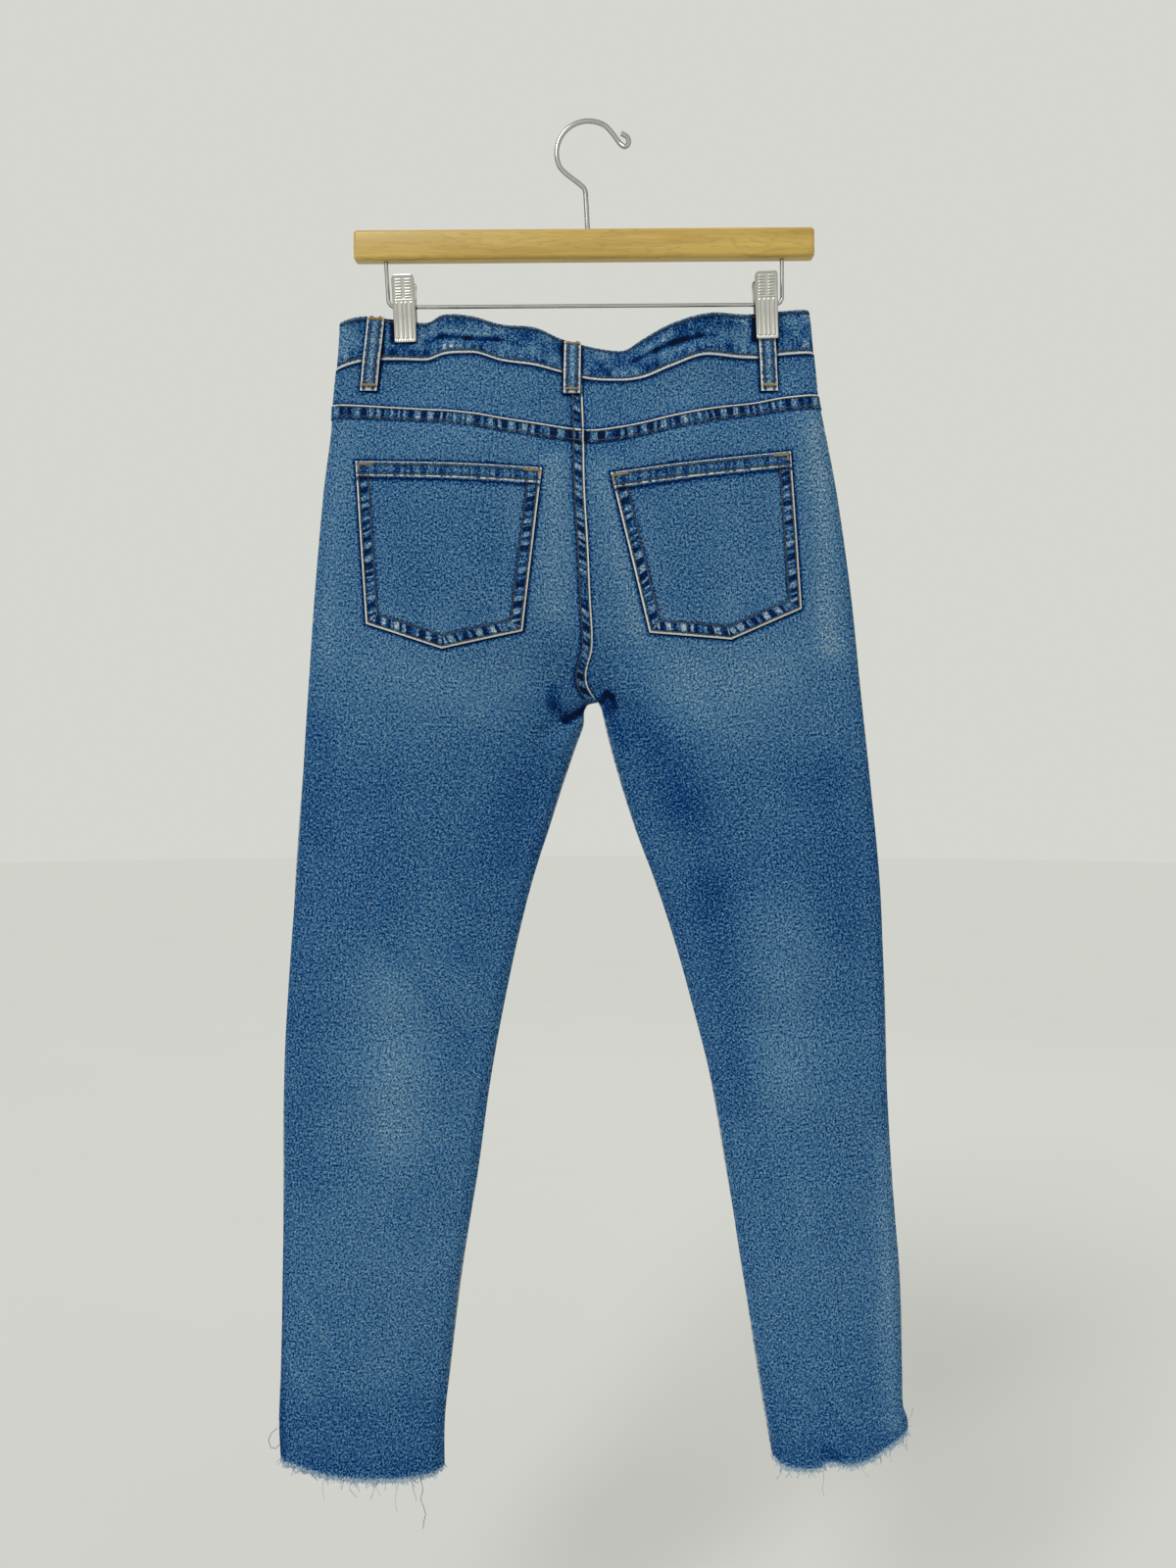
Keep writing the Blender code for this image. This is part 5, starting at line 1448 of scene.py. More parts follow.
def band_points(side, leg, x, share, out, inset=0.0):
    """Points over the band's outer skin. The band turns round at each side with no seam."""
    low = seam_height(side, "band_foot", x) + SEAM_GAP / 2
    high = seam_height(side, "band_top", x)
    z = mix(low, high, share)
    sine, cosine = roundness(np.abs(x - side_edge(leg, z)))
    depth = band_depth(side, x, share + np.zeros_like(x)) * sine - inset
    return np.stack([x + out * cosine * leg, side * (depth + out * sine), z], axis=-1)


def band_stations(side, leg, share):
    columns = fine_columns()
    x = column_x(side, leg, columns, np.full(len(columns), -190.0))
    for _ in range(3):
        low = seam_height(side, "band_foot", x)
        high = seam_height(side, "band_top", x)
        x = column_x(side, leg, columns, mix(low, high, share))
    return x


BAND_ROWS = (
    (0.0, -0.5), (0.012, 0.0), (0.03, 0.12), (0.055, 0.12), (0.075, -0.1), (0.095, -0.1),
    *((round(0.125 + 0.035 * k, 3), 0.0) for k in range(22)),
    (0.89, 0.0), (0.91, -0.1), (0.93, -0.1), (0.955, 0.1), (0.985, 0.0), (1.0, -0.7),
)


def band_row(share, out, wave=0.0):
    """One level of the strip, from the left end at the centre front round the back."""
    left_x, right_x = band_stations(FRONT, LEFT, share), band_stations(FRONT, RIGHT, share)
    over = left_x[-1] + np.linspace(LAP_OVER, 0, 8)[:-1]
    under = right_x[-1] - np.linspace(0, LAP_UNDER, 9)[1:]
    right_run = np.concatenate([right_x[1:], under])
    inset = LAP_INSET * ease((46 - right_run) / 22)
    back_left = band_stations(BACK, LEFT, share)[1:]
    back_right = band_stations(BACK, RIGHT, share)[-2::-1]
    runs = (
        (FRONT, LEFT, np.concatenate([over, left_x[::-1]]), 0.0),
        (BACK, LEFT, back_left, 0.0), (BACK, RIGHT, back_right, 0.0), (FRONT, RIGHT, right_run, inset),
    )
    total = sum(len(run[2]) for run in runs)
    wave = np.zeros(total) + wave
    parts, at = [], 0
    for side, leg, x, drawn_in in runs:
        lift = wave[at:at + len(x)] * (1 - pinch(x, np.full_like(x, share)))
        parts.append(band_points(side, leg, x, share, out + lift, drawn_in))
        at += len(x)
    return np.concatenate(parts)


def band_marks(points, share):
    """Mottled patches, a pale top edge and piping, painted shade in the folds with painted highlights on
    their lips, and the distance for a painted shadow beside each clip and belt loop.
    """
    x, y, z = points[..., 0], points[..., 1], points[..., 2]
    run = x * np.where(y < 0, 1, -1) + np.where(y < 0, 300, 900)
    inside = ease((share - 0.08) / 0.05) * ease((0.96 - share) / 0.04)
    tone = 0.70 * mottle(run, z, 12.0, 81) + 0.50 * mottle(run, z, 5.5, 82) - 0.08
    tone = inside * np.clip(tone, -1.0, 0.36)
    at_back = y < 0
    # Painted shade in the band's folds and painted highlights on their lips
    tone = tone + np.where(
        at_back, soft_lines(BAND_SHADING, BACK, x, z, "tone"), soft_lines(BAND_SHADING, FRONT, x, z, "tone"))
    tone = tone + 1.70 * line_at(share - 0.012, 0.036) + 0.80 * line_at(0.985 - share, 0.025)
    tone = tone - 1.10 * line_at(share - 0.088, 0.026) - 1.00 * line_at(share - 0.925, 0.032)
    rope = inside * (0.06 + 0.45 * line_at(share - 0.20, 0.09) + 0.25 * line_at(share - 0.84, 0.08))
    beside = np.where(at_back, beside_strips(BACK, x, z), beside_strips(FRONT, x, z))
    return tone, rope, run, beside


class JEANS_OT_waistband(Operator):
    """Build the waistband as one mottled strip with lapped ends"""
    bl_idname = "jeans.waistband"
    bl_label = "Waistband"

    def execute(self, context):
        shares = np.array([share for share, _ in BAND_ROWS])
        outer, inner = [], []
        for share, out in BAND_ROWS:
            plain = band_row(share, 0.0)
            run = plain[:, 0] * np.where(plain[:, 1] < 0, 1, -1)
            wave = 0.35 * math.sin(math.pi * share) * patches(run + 9 * share, 90)
            outer.append(band_row(share, out, wave))
            inner.append(band_row(share, -BAND_WALL))
        outer, inner = np.array(outer), np.array(inner)
        tone, rope, run, beside = band_marks(outer, shares[:, None])
        cloth_piece(
            "denim_waistband", outer, inner, tone, rope, run, ("waistband",), beside=beside)
        return {"FINISHED"}


# Back patch pockets

def nearest_leg(x):
    return LEFT if x < CROTCH_X else RIGHT


def inset_path(corners, side_inset, foot_inset, top_inset=0.6):
    """A pocket's outline drawn in from its edges, from the top left round the foot."""
    x, z = corners["x"], corners["z"]
    ring = np.stack([x, z], axis=-1)
    order = [0, 4, 3, 2, 1]
    ring = ring[order]
    insets = (side_inset, foot_inset, foot_inset, side_inset, top_inset)
    lines = []
    for k, inset in enumerate(insets):
        start, end = ring[k], ring[(k + 1) % 5]
        way = (end - start) / np.linalg.norm(end - start)
        normal = np.array([-way[1], way[0]])
        lines.append((start + normal * inset, way))
    made = []
    for k in range(5):
        (p, u), (q, v) = lines[k - 1], lines[k]
        share = ((q[0] - p[0]) * v[1] - (q[1] - p[1]) * v[0]) / (u[0] * v[1] - u[1] * v[0])
        made.append(p + share * u)
    return np.array(made)


def graded(count, edge):
    """Shares from 0 to 1, close together at both ends."""
    steps = np.array([0, 0.22, 0.5, 0.8, 1.2, 1.8, 2.6, 3.6, 5.0, 7.0, 8.6, 9.4, 10.1, 10.8, 12.0]) * edge
    middle = np.linspace(steps[-1], 1 - steps[-1], count)[1:-1]
    return np.concatenate([steps, middle, 1 - steps[::-1]])


class JEANS_OT_pockets(Operator):
    """Build the two patch pockets on the back, with their hems and puckered edges"""
    bl_idname = "jeans.pockets"
    bl_label = "Back pockets"

    def execute(self, context):
        for name, corner in POCKETS.items():
            x, z = corner["x"], corner["z"]
            leg = nearest_leg(x[0])
            point = (x[3] - x[4]) / (x[2] - x[4])
            across = graded(56, 1 / 143)
            across = np.sort(np.append(across[np.abs(across - point) > 0.008], point))
            foot_z = np.interp(across, (0, point, 1), (z[4], z[3], z[2]))
            down = graded(46, 1 / 130)[:, None]
            hem = POCKET_HEM / abs(z[0] - z[4])
            at_hem = hem + np.array([-0.012, -0.006, 0, 0.006, 0.013])
            down = np.sort(np.append(down[np.abs(down - hem) > 0.012], at_hem))[:, None]
            top_x, top_z = mix(x[0], x[1], across), mix(z[0], z[1], across)
            grid_x = mix(top_x, mix(x[4], x[2], across), down)
            grid_z = mix(top_z, foot_z, down)
            ring = inset_path(corner, 0, 0, 0)
            inside, _, run = nearest_on_lines(grid_x, grid_z, ring[:-1], ring[1:])
            below = (down + 0 * grid_x) * (top_z - foot_z)
            border = ease((inside - 1.4) / 1.4) * ease((9.4 - inside) / 1.4) * (below > POCKET_HEM)
            in_hem = below <= POCKET_HEM + 0.05
            rise = np.where(in_hem, POCKET_HEM_RISE, 0.0)
            rounding = ease(inside / 0.9) * ease(below / 0.7)
            height = LAID_GAP + POCKET_WALL * (0.5 + 0.5 * rounding) + rise * (0.3 + 0.7 * rounding)
            height += ripple(BACK, grid_x, grid_z)
            outer = cloth(BACK, leg, grid_x, grid_z, height)
            inner = cloth(BACK, leg, grid_x, grid_z, LAID_GAP + ripple(BACK, grid_x, grid_z))
            beyond_hem = below > POCKET_HEM
            tone = 1.60 * line_at(inside - 0.4, 1.0) - 1.05 * line_at(inside - 2.2, 0.8) - 0.10 * border
            tone = tone - 1.20 * line_at(inside - 10.0, 1.0) * beyond_hem
            tone = tone + 1.20 * line_at(below - 0.2, 1.0) - 0.06 * in_hem
            tone = tone - 0.95 * line_at(below - 2.8, 0.8) - 0.80 * line_at(below - 9.5, 0.8)
            # A pale edge at the hem's foot and a painted shadow under it
            tone = tone + 1.90 * line_at(below - POCKET_HEM + 0.4, 0.9) - 1.75 * line_at(below - 13.2, 1.5)
            tone = tone + soft_lines(POCKET_FADES, leg, grid_x, grid_z, "tone")
            rope = np.where(in_hem, 0.50 * ease((below - 1.2) / 1.2), 1.0 * border)
            run = np.where(in_hem, grid_x + 400, run + 0.3 * inside)
            cloth_piece(
                "denim_" + name, outer, inner, tone, rope, run, (name,))
        return {"FINISHED"}


# Fly, belt loops and button

def placket_grid(down, across):
    top = seam_height(FRONT, "band_foot", np.array([-20.0])) - LAID_GAP
    z = top - FLAP_LENGTH * down
    to_foot = np.clip(FLAP_LENGTH * (1 - down) / FLAP_TURN, 0, 1)
    width = FLAP_OVER + 3 + (FLAP_WIDTH - 3) * np.sqrt(1 - (1 - to_foot) ** 2)
    x = centre_seam(FRONT, z) + FLAP_OVER - width * across
    z = z + np.zeros_like(x)
    z[0] = seam_height(FRONT, "band_foot", x[0]) - LAID_GAP
    return x, z, width


class JEANS_OT_fly(Operator):
    """Build the fly's placket, and finish the tack button and the closed zip behind it"""
    bl_idname = "jeans.fly"
    bl_label = "Fly"

    def execute(self, context):
        down = np.concatenate([np.linspace(0, 0.66, 40), 1 - 0.34 * np.linspace(1, 0, 34)[1:] ** 1.6])
        across = graded(14, 1 / 60)
        x, z, width = placket_grid(down[:, None], across)
        inside = np.minimum(width * across, width * (1 - across))
        left = width * (1 - across)
        height = LAID_GAP + FLAP_WALL * (0.5 + 0.5 * ease(inside / 0.8))
        height += ripple(FRONT, x, z)
        outer = cloth(FRONT, LEFT, x, z, height)
        inner = cloth(FRONT, LEFT, x, z, LAID_GAP + ripple(FRONT, x, z))
        tone = 0.04 + 1.0 * line_at(inside, 1.0)
        rope = 0.7 * line_at(left - 5, 2.6)
        cloth_piece(
            "denim_fly_flap", outer, inner, tone, rope, 0.3 * x - z, ("fly_flap",))
        for name, finish in (("button", "button"), ("zip", "brass")):
            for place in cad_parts[name].material_slots:
                place.material = FINISH[finish]
        return {"FINISHED"}


def loop_surface(loop):
    """The loop's run as a function of share down, place across and height."""
    side, leg = loop["side"], nearest_leg(loop["top"])

    def points(down, across, out):
        down, across = np.broadcast_arrays(down, across)
        centre = mix(loop["top"], loop["foot"], down)
        x = centre + LOOP_WIDTH * across
        top_z = seam_height(side, "band_top", np.array([loop["top"]]))[0] + 0.4
        z = mix(top_z, loop["foot_z"], down)
        low = seam_height(side, "band_foot", x)
        high = seam_height(side, "band_top", x)
        share = np.clip((z - low) / (high - low), 0, 1)
        on_band = band_depth(side, x, share) * roundness(np.abs(x - side_edge(leg, z)))[0]
        on_cloth = cloth(side, leg, x, z, 0.0)[..., 1] * side
        under = np.where(z > low, on_band, np.maximum(on_band, on_cloth))
        fall = ease((low - 4 - z) / 14)
        base = mix(under, on_cloth + loop["seat"], fall)
        stand = LAID_GAP + loop["stand"] * np.sin(math.pi * down)
        return np.stack([x, side * (base + stand + out), z], axis=-1)

    return points


class JEANS_OT_loops(Operator):
    """Build the five belt loops"""
    bl_idname = "jeans.loops"
    bl_label = "Belt loops"

    def execute(self, context):
        down = np.concatenate([[0, 0.01, 0.03], np.linspace(0.055, 0.945, 44), [0.97, 0.99, 1.0]])[:, None]
        across = np.array([
            -0.5, -0.485, -0.45, -0.4, -0.3, -0.2, -0.1, 0, 0.1, 0.2, 0.3, 0.4, 0.45, 0.485, 0.5])
        for k, (name, loop) in enumerate(LOOPS.items()):
            surface = loop_surface(loop)
            edge = (0.5 - np.abs(across)) * LOOP_WIDTH
            end = np.minimum(down, 1 - down) * LOOP_LENGTH
            rounding = ease(edge / 1.3) * ease(end / 1.3)
            middle = 1 - np.clip(np.abs(across) / 0.26, 0, 1) ** 2
            out = LOOP_WALL * (0.45 + 0.55 * rounding)
            outer, inner = surface(down, across, out), surface(down, across, 0.0)
            tone = 0.04 + 1.50 * line_at(edge - 0.4, 1.1) - 1.50 * line_at(edge - 2.9, 0.9)
            tone = tone + 0.52 * middle + 1.20 * line_at(end, 1.4) - 0.5 * line_at(end - 3.4, 1.2)
            rope = 0.30 * line_at(edge - 1.4, 1.4) + 0.12 * middle
            cloth_piece(
                "denim_" + name, outer, inner, tone, rope, down * LOOP_LENGTH + 70 * k, (name,))
        return {"FINISHED"}


# Sewing

def over_panel(side, leg, height=0.0):
    return lambda x, z, lift: cloth(side, leg, x, z, height + lift + ripple(side, x, z))


def along_inner(leg, inside, top, foot, count=90):
    z = np.linspace(top, foot, count)
    return inner_edge(BACK, leg, z) + leg * inside, z


def seam_stitches():
    """Rows along the yokes, the seat, the front pockets, the centre front and the fly."""
    paths = []
    for leg in (LEFT, RIGHT):
        outer = side_edge(leg, -230.0) - leg * 4.0
        x = np.linspace(outer, -5.0 + leg * 3.0, 110)
        for drop in (1.9, 9.3):
            z = seam_height(BACK, "yoke_foot", x) - drop
            paths += stitch_row(over_panel(BACK, leg, LAP_RISE), x, z)
        edge = side_edge(leg, -195.0)
        x = edge - leg * np.linspace(3.0, SCOOP_WIDTH - 3.0, 120)
        top = seam_height(FRONT, "band_foot", x)
        for drop in (2.0, 8.2):
            z = top - scoop(leg, x, top) - drop
            keep = z < top - 3
            paths += stitch_row(over_panel(FRONT, leg, 0.05), x[keep], z[keep])
    for inside in (1.8, 7.9):
        x, z = along_inner(LEFT, inside, -208.0, CROTCH_Z + 5.0)
        paths += stitch_row(over_panel(BACK, LEFT, LAP_RISE), x, z)
    z = np.linspace(-360.0, -446.0, 60)
    paths += stitch_row(over_panel(FRONT, LEFT, 0.05), centre_seam(FRONT, z) - 2.0, z)
    paths += stitch_row(over_panel(FRONT, LEFT, 0.05), centre_seam(FRONT, z) - 8.0, z)
    down = np.concatenate([np.linspace(0.01, 0.66, 40), 1 - 0.34 * np.linspace(1, 0.05, 34)[1:] ** 1.6])
    x, z, width = placket_grid(down[:, None], np.array([0.0, 1.0]))
    for inside in (1.8, 7.6):
        turned = np.clip(width[:, 0] - inside, 0, None)
        paths += stitch_row(over_panel(FRONT, LEFT, LAID_GAP + FLAP_WALL), x[:, 0] - turned, z[:, 1])
    return paths


def band_stitches():
    """A row just under the band's top edge and one just above its foot, all the way round."""
    paths = []
    for side in (BACK, FRONT):
        for leg in (LEFT, RIGHT):
            outer = side_edge(leg, -175.0) - leg * 2.5
            centre = -5.5 if side == BACK else (12.0 if leg == LEFT else 15.0)
            x = np.linspace(outer, centre, 120)
            for share in (0.088, 0.925):
                z = mix(seam_height(side, "band_foot", x), seam_height(side, "band_top", x), share)
                paths += stitch_row(lambda x, z, lift: band_points(side, leg, x, share, lift), x, z)
    return paths


def pocket_stitches():
    paths = []
    for corners in POCKETS.values():
        leg = nearest_leg(corners["x"][0])
        surface = over_panel(BACK, leg, LAID_GAP + POCKET_WALL)
        for inset in (1.9, 9.6):
            ring = inset_path(corners, inset, inset)
            paths += stitch_row(surface, ring[:, 0], ring[:, 1], 0.12)
        ring = inset_path(corners, 1.0, 1.0, 0.0)
        hem = over_panel(BACK, leg, LAID_GAP + POCKET_WALL + POCKET_HEM_RISE)
        for drop in (2.6, 9.8):
            x = np.linspace(ring[0, 0], ring[4, 0], 30)
            z = np.linspace(ring[0, 1], ring[4, 1], 30) - drop
            paths += stitch_row(hem, x, z, 0.12)
    return paths


def loop_stitches():
    paths = []
    for loop in LOOPS.values():
        surface = loop_surface(loop)
        for across in (-0.27, 0.27):
            down = np.linspace(0.03, 0.97, 50) * LOOP_LENGTH
            paths += stitch_row(
                lambda x, z, lift: surface(z / LOOP_LENGTH, x, LOOP_WALL + lift),
                np.full(50, across), down, 0.05)
    return paths


def bartack_paths():
    """Golden bars at the loops' ends and the pockets' top corners."""
    paths = []
    for loop in LOOPS.values():
        surface = loop_surface(loop)
        for down in (0.045, 0.93):
            paths += bartack(
                lambda x, z, lift: surface(z / LOOP_LENGTH, x / LOOP_WIDTH, LOOP_WALL + lift),
                0.0, down * LOOP_LENGTH, 10.5, 1.9)
    for corners in POCKETS.values():
        leg = nearest_leg(corners["x"][0])
        ring = inset_path(corners, 1.4, 1.4, 0.0)
        surface = over_panel(BACK, leg, LAID_GAP + POCKET_WALL + POCKET_HEM_RISE)
        slope = math.atan2(ring[4, 1] - ring[0, 1], ring[4, 0] - ring[0, 0])
        for corner, way in ((ring[0], 1), (ring[4], -1)):
            middle = corner + way * 6.5 * np.array([math.cos(slope), math.sin(slope)])
            paths += bartack(surface, middle[0], middle[1] - 2.6, 11.0, 1.3, slope)
            paths += bartack(surface, corner[0] + way * 0.9, corner[1] - 5.0, 4.0, 1.0, slope + math.pi / 2)
    for x, z in ((-30.0, -318.0), (-2.0, -356.0)):
        paths += bartack(over_panel(FRONT, LEFT, LAID_GAP + FLAP_WALL), x, z, 8.0, 1.6, math.pi / 2)
    return paths


class JEANS_OT_sewing(Operator):
    """Sew the rows of stitches and the bartacks"""
    bl_idname = "jeans.sewing"
    bl_label = "Sewing"

    def execute(self, context):
        thread = context.scene.jeans_thread
        rows = (
            ("stitches_panels", seam_stitches()), ("stitches_waistband", band_stitches()),
            ("stitches_pockets", pocket_stitches()), ("stitches_loops", loop_stitches()),
        )
        for name, paths in rows:
            finish_piece(
                thread_object(name, paths, thread.thickness / MM),
                materials=(FINISH["seam_thread"],))
        tacks = thread_object("bartacks", bartack_paths(), thread.tack_thickness / MM)
        finish_piece(tacks, materials=(FINISH["bartack_thread"],))
        return {"FINISHED"}


# Frayed hems

def frayed_paths(leg, count, usual):
    """Loose threads round a raw hem: mostly short, curled and uneven, a few long."""
    chance = np.random.default_rng(200 + leg)
    columns = fine_columns()
    hem = hem_heights(leg, columns)
    edge = column_x(BACK, leg, columns, hem)
    paths = []
    low, high = sorted((edge[0], edge[-1]))
    order = np.argsort(edge)
    for k in range(count):
        side = BACK if k % 2 else FRONT
        x = chance.uniform(low + 0.4, high - 0.4)
        z = np.interp(x, edge[order], hem[order])
        length = usual * chance.lognormal(-0.15, 0.42)
        if chance.random() < 0.04:
            length *= chance.uniform(1.8, 2.8)
        root = cloth(side, leg, x, z + 1.0, chance.uniform(-1.2, 0.1))
        share = np.linspace(0, 1, 6)[:, None]
        sway = chance.normal(0, 0.34, 2) * length
        curl = chance.normal(0, 0.16, 2) * length
        wave = np.sin(share * math.pi * chance.uniform(0.8, 2.0))
        drift_x = sway[0] * share**1.5 + curl[0] * wave
        drift_y = 0.5 * (sway[1] * share**1.5 + curl[1] * wave)
        fall = -(length + 1.0) * share
        paths.append(root + np.concatenate([drift_x, drift_y, fall], axis=1))
    return paths


def weft_paths(leg, count):
    """Pale crosswise threads that the raw edge lets go."""
    chance = np.random.default_rng(300 + leg)
    columns = fine_columns()
    hem = hem_heights(leg, columns)
    edge = column_x(BACK, leg, columns, hem)
    order = np.argsort(edge)
    low, high = edge[order][0], edge[order][-1]
    paths = []
    for k in range(count):
        side = BACK if k % 2 else FRONT
        start = chance.uniform(low + 2, high - 22)
        x = start + np.linspace(0, chance.uniform(7, 20), 9)
        z = np.interp(x, edge[order], hem[order]) - 0.6 - 1.6 * chance.random() - 0.7 * chance.random(9)
        paths.append(cloth(side, leg, x, z, chance.uniform(-1.0, 0.4) + 0.25 * chance.normal(size=9)))
    return paths


# Single threads that have come away, each a run of points x, y, z
LOOSE_DARK = [
    [(-131.6, -7.2, -1054), (-129.6, -7.6, -1064), (-131.4, -8.2, -1071), (-128.8, -8.4, -1077),
     (-127.4, -8.0, -1083), (-129.0, -7.8, -1089), (-129.4, -7.6, -1094)],
    [(-244.0, -2.0, -1019), (-248.0, -3.0, -1022), (-250.4, -3.6, -1027), (-248.6, -4.0, -1033),
     (-244.6, -3.6, -1034), (-241.8, -3.0, -1031)],
]
LOOSE_PALE = [
    [(-152, -8, -1054), (-150, -8.6, -1064), (-151, -9, -1073), (-149.5, -9, -1080)],
    [(180, -8, -1043), (181.4, -8.8, -1053), (180.2, -9, -1062), (181.5, -9, -1068)],
    [(-206, -8, -1054), (-207.4, -8.6, -1062), (-206.2, -9, -1071)],
    [(244, -3, -1015), (248.6, -3.6, -1012), (250.6, -4, -1007), (251.4, -4, -1002)],
    [(243, -3, -1018), (247.4, -4, -1020), (250.4, -4, -1024)],
    [(242, -2, -1016), (248.0, -2.4, -1017.4), (252.0, -2.6, -1016)],
]


class JEANS_OT_hems(Operator):
    """Fray the two raw hems"""
    bl_idname = "jeans.hems"
    bl_label = "Frayed hems"

    def execute(self, context):
        thread = context.scene.jeans_thread
        for leg, word in ((LEFT, "left"), (RIGHT, "right")):
            paths = frayed_paths(leg, thread.fray_count, thread.fray_length / MM) + weft_paths(leg, 46)
            obj = thread_object("frayed_hem_" + word, paths, thread.fray_thickness / MM, 0)
            finish_piece(obj, ("fringe_" + word,), (FINISH["frayed"],))
        pale = thread_object("loose_threads_pale", LOOSE_PALE, 0.4, 0)
        finish_piece(pale, materials=(FINISH["frayed"],))
        dark = thread_object("loose_threads_dark", LOOSE_DARK, 0.45, 0)
        finish_piece(dark, materials=(FINISH["seam_thread"],))
        return {"FINISHED"}


# Hanger

def arc(centre_x, centre_z, radius, start, end, steps):
    angles = np.radians(np.linspace(start, end, steps))
    return [(centre_x + radius * math.cos(a), 0.0, centre_z + radius * math.sin(a)) for a in angles]


def rounded(points, steps):
    """A smooth run through points."""
    points = np.array(points, float)
    run = np.concatenate([[0], np.cumsum(np.linalg.norm(np.diff(points, axis=0), axis=1))])
    at = np.linspace(0, run[-1], steps)
    columns = {"at": run, "x": points[:, 0], "y": points[:, 1], "z": points[:, 2]}
    return np.stack([along(columns, "at", name, at) for name in "xyz"], axis=-1)


def tilted(points):
    """Turn points with the hanger's slight tilt about the origin."""
    cosine, sine = math.cos(HANGER_TILT), math.sin(HANGER_TILT)
    points = np.asarray(points, float)
    x = points[..., 0] * cosine - points[..., 2] * sine
    z = points[..., 0] * sine + points[..., 2] * cosine
    return np.stack([x, points[..., 1], z], axis=-1)


HOOK_STEM = [(-3.6, 0, -58.0), (-3.9, 0, -53.6), (-4.9, 0, -50.8), (-6.9, 0, -48.8)]
HOOK_END = [
    (18.0, 0, -8.6), (21.6, 0, -13.6), (24.6, -0.4, -17.2),
    (27.0, -1.2, -18.9), (29.4, -2.4, -18.2), (30.2, -3.6, -15.8),
    (29.0, -4.6, -13.2), (26.6, -5.0, -11.6), (24.2, -5.2, -10.6),
]


class JEANS_OT_hanger(Operator):
    """Build the wooden bar, its hook and the wire that carries the clips"""
    bl_idname = "jeans.hanger"
    bl_label = "Hanger"

    def execute(self, context):
        shape = bmesh.new()
        place = Matrix.Rotation(-HANGER_TILT, 4, "Y") @ Matrix.Translation((BAR_X * MM, 0, BAR_Z * MM))
        size = Matrix.Diagonal((BAR_LENGTH * MM, BAR_DEPTH * MM, BAR_HEIGHT * MM, 1.0))
        bmesh.ops.create_cube(shape, size=1.0, matrix=size)
        bmesh.ops.bevel(
            shape, geom=shape.edges[:], offset=BAR_ROUND * MM, offset_type="OFFSET", segments=6,
            profile=0.5, affect="EDGES", material=-1,
        )
        bmesh.ops.transform(shape, matrix=place, verts=shape.verts[:])
        bar = bmesh_object("wooden_bar", shape, 60)
        finish_piece(bar, ("hanger_bar",), (FINISH["wood"],))

        bar_top, bar_foot = BAR_Z + BAR_HEIGHT / 2, BAR_Z - BAR_HEIGHT / 2
        points = [(-2.4, 0, bar_top + SEAM_GAP), *HOOK_STEM]
        points += arc(HOOK_X, HOOK_WIRE / 2 - HOOK_RADIUS, HOOK_RADIUS, 207, 58, 19)
        points += HOOK_END
        hook = thread_object("steel_hook", [tilted(rounded(points, 150))], HOOK_WIRE, 4)
        finish_piece(hook, ("hanger_hook",), (FINISH["steel"],))

        low, bend = WIRE_Z, WIRE_BEND
        points = [(WIRE_LEFT - WIRE_TOP_SPREAD, 0, bar_foot - SEAM_GAP)]
        points += arc(WIRE_LEFT + bend, low + bend, bend, 180, 270, 13)
        points += arc(WIRE_RIGHT - bend, low + bend, bend, 270, 360, 13)
        points += [(WIRE_RIGHT, 0, bar_foot - SEAM_GAP)]
        wire = thread_object("clip_wire", [tilted(points)], WIRE_THICK, 4)
        finish_piece(wire, ("hanger_wire",), (FINISH["steel"],))
        return {"FINISHED"}


# Clips

JAW = table(
    "z rise flange",
    (-28.5, 0.0, 0.3),
    (-24.0, 0.0, 0.3),
    (-12.0, 0.5, 0.3),
    (-5.0, 1.3, 1.0),
    (6.0, 2.6, 3.4),
    (14.0, 4.2, 2.4),
    (22.0, 6.2, 0.8),
)


def jaw_relief(x, z):
    """Pressed relief of a clip's plate: a rim, rows of dashes above and four long ribs below."""
    half = CLIP_WIDTH / 2
    edge = np.minimum(half - np.abs(x), CLIP_TOP - z)
    rim = 0.42 * np.exp(-(((edge - 0.9) / 0.55) ** 2))
    ribs = 0.5 * np.exp(-(((np.abs(np.abs(x) - 3.55) - 1.95) / 0.62) ** 2))
    ribs = ribs * ease((2.4 - z) / 1.4) * ease((z - CLIP_TIP - 2.0) / 1.2)
    pitch = 2.15
    row = (z - 5.2) / pitch
    in_rows = (row > -0.5) & (row < 6.5)
    dash = np.exp(-(((row - np.round(row)) * pitch / 0.48) ** 2))
    dash = dash * ease((2.55 - np.abs(np.abs(x) - 3.6)) / 0.6) * in_rows
    bar = 0.3 * np.exp(-(((z - 3.4) / 0.5) ** 2)) * ease((half - 1.6 - np.abs(x)) / 0.8)
    teeth = 0.3 * np.exp(-(((z - CLIP_TIP - 1.2) / 0.7) ** 2)) * (0.5 + 0.5 * np.cos(x * 3.1))
    return rim + ribs + 0.42 * dash + bar + teeth


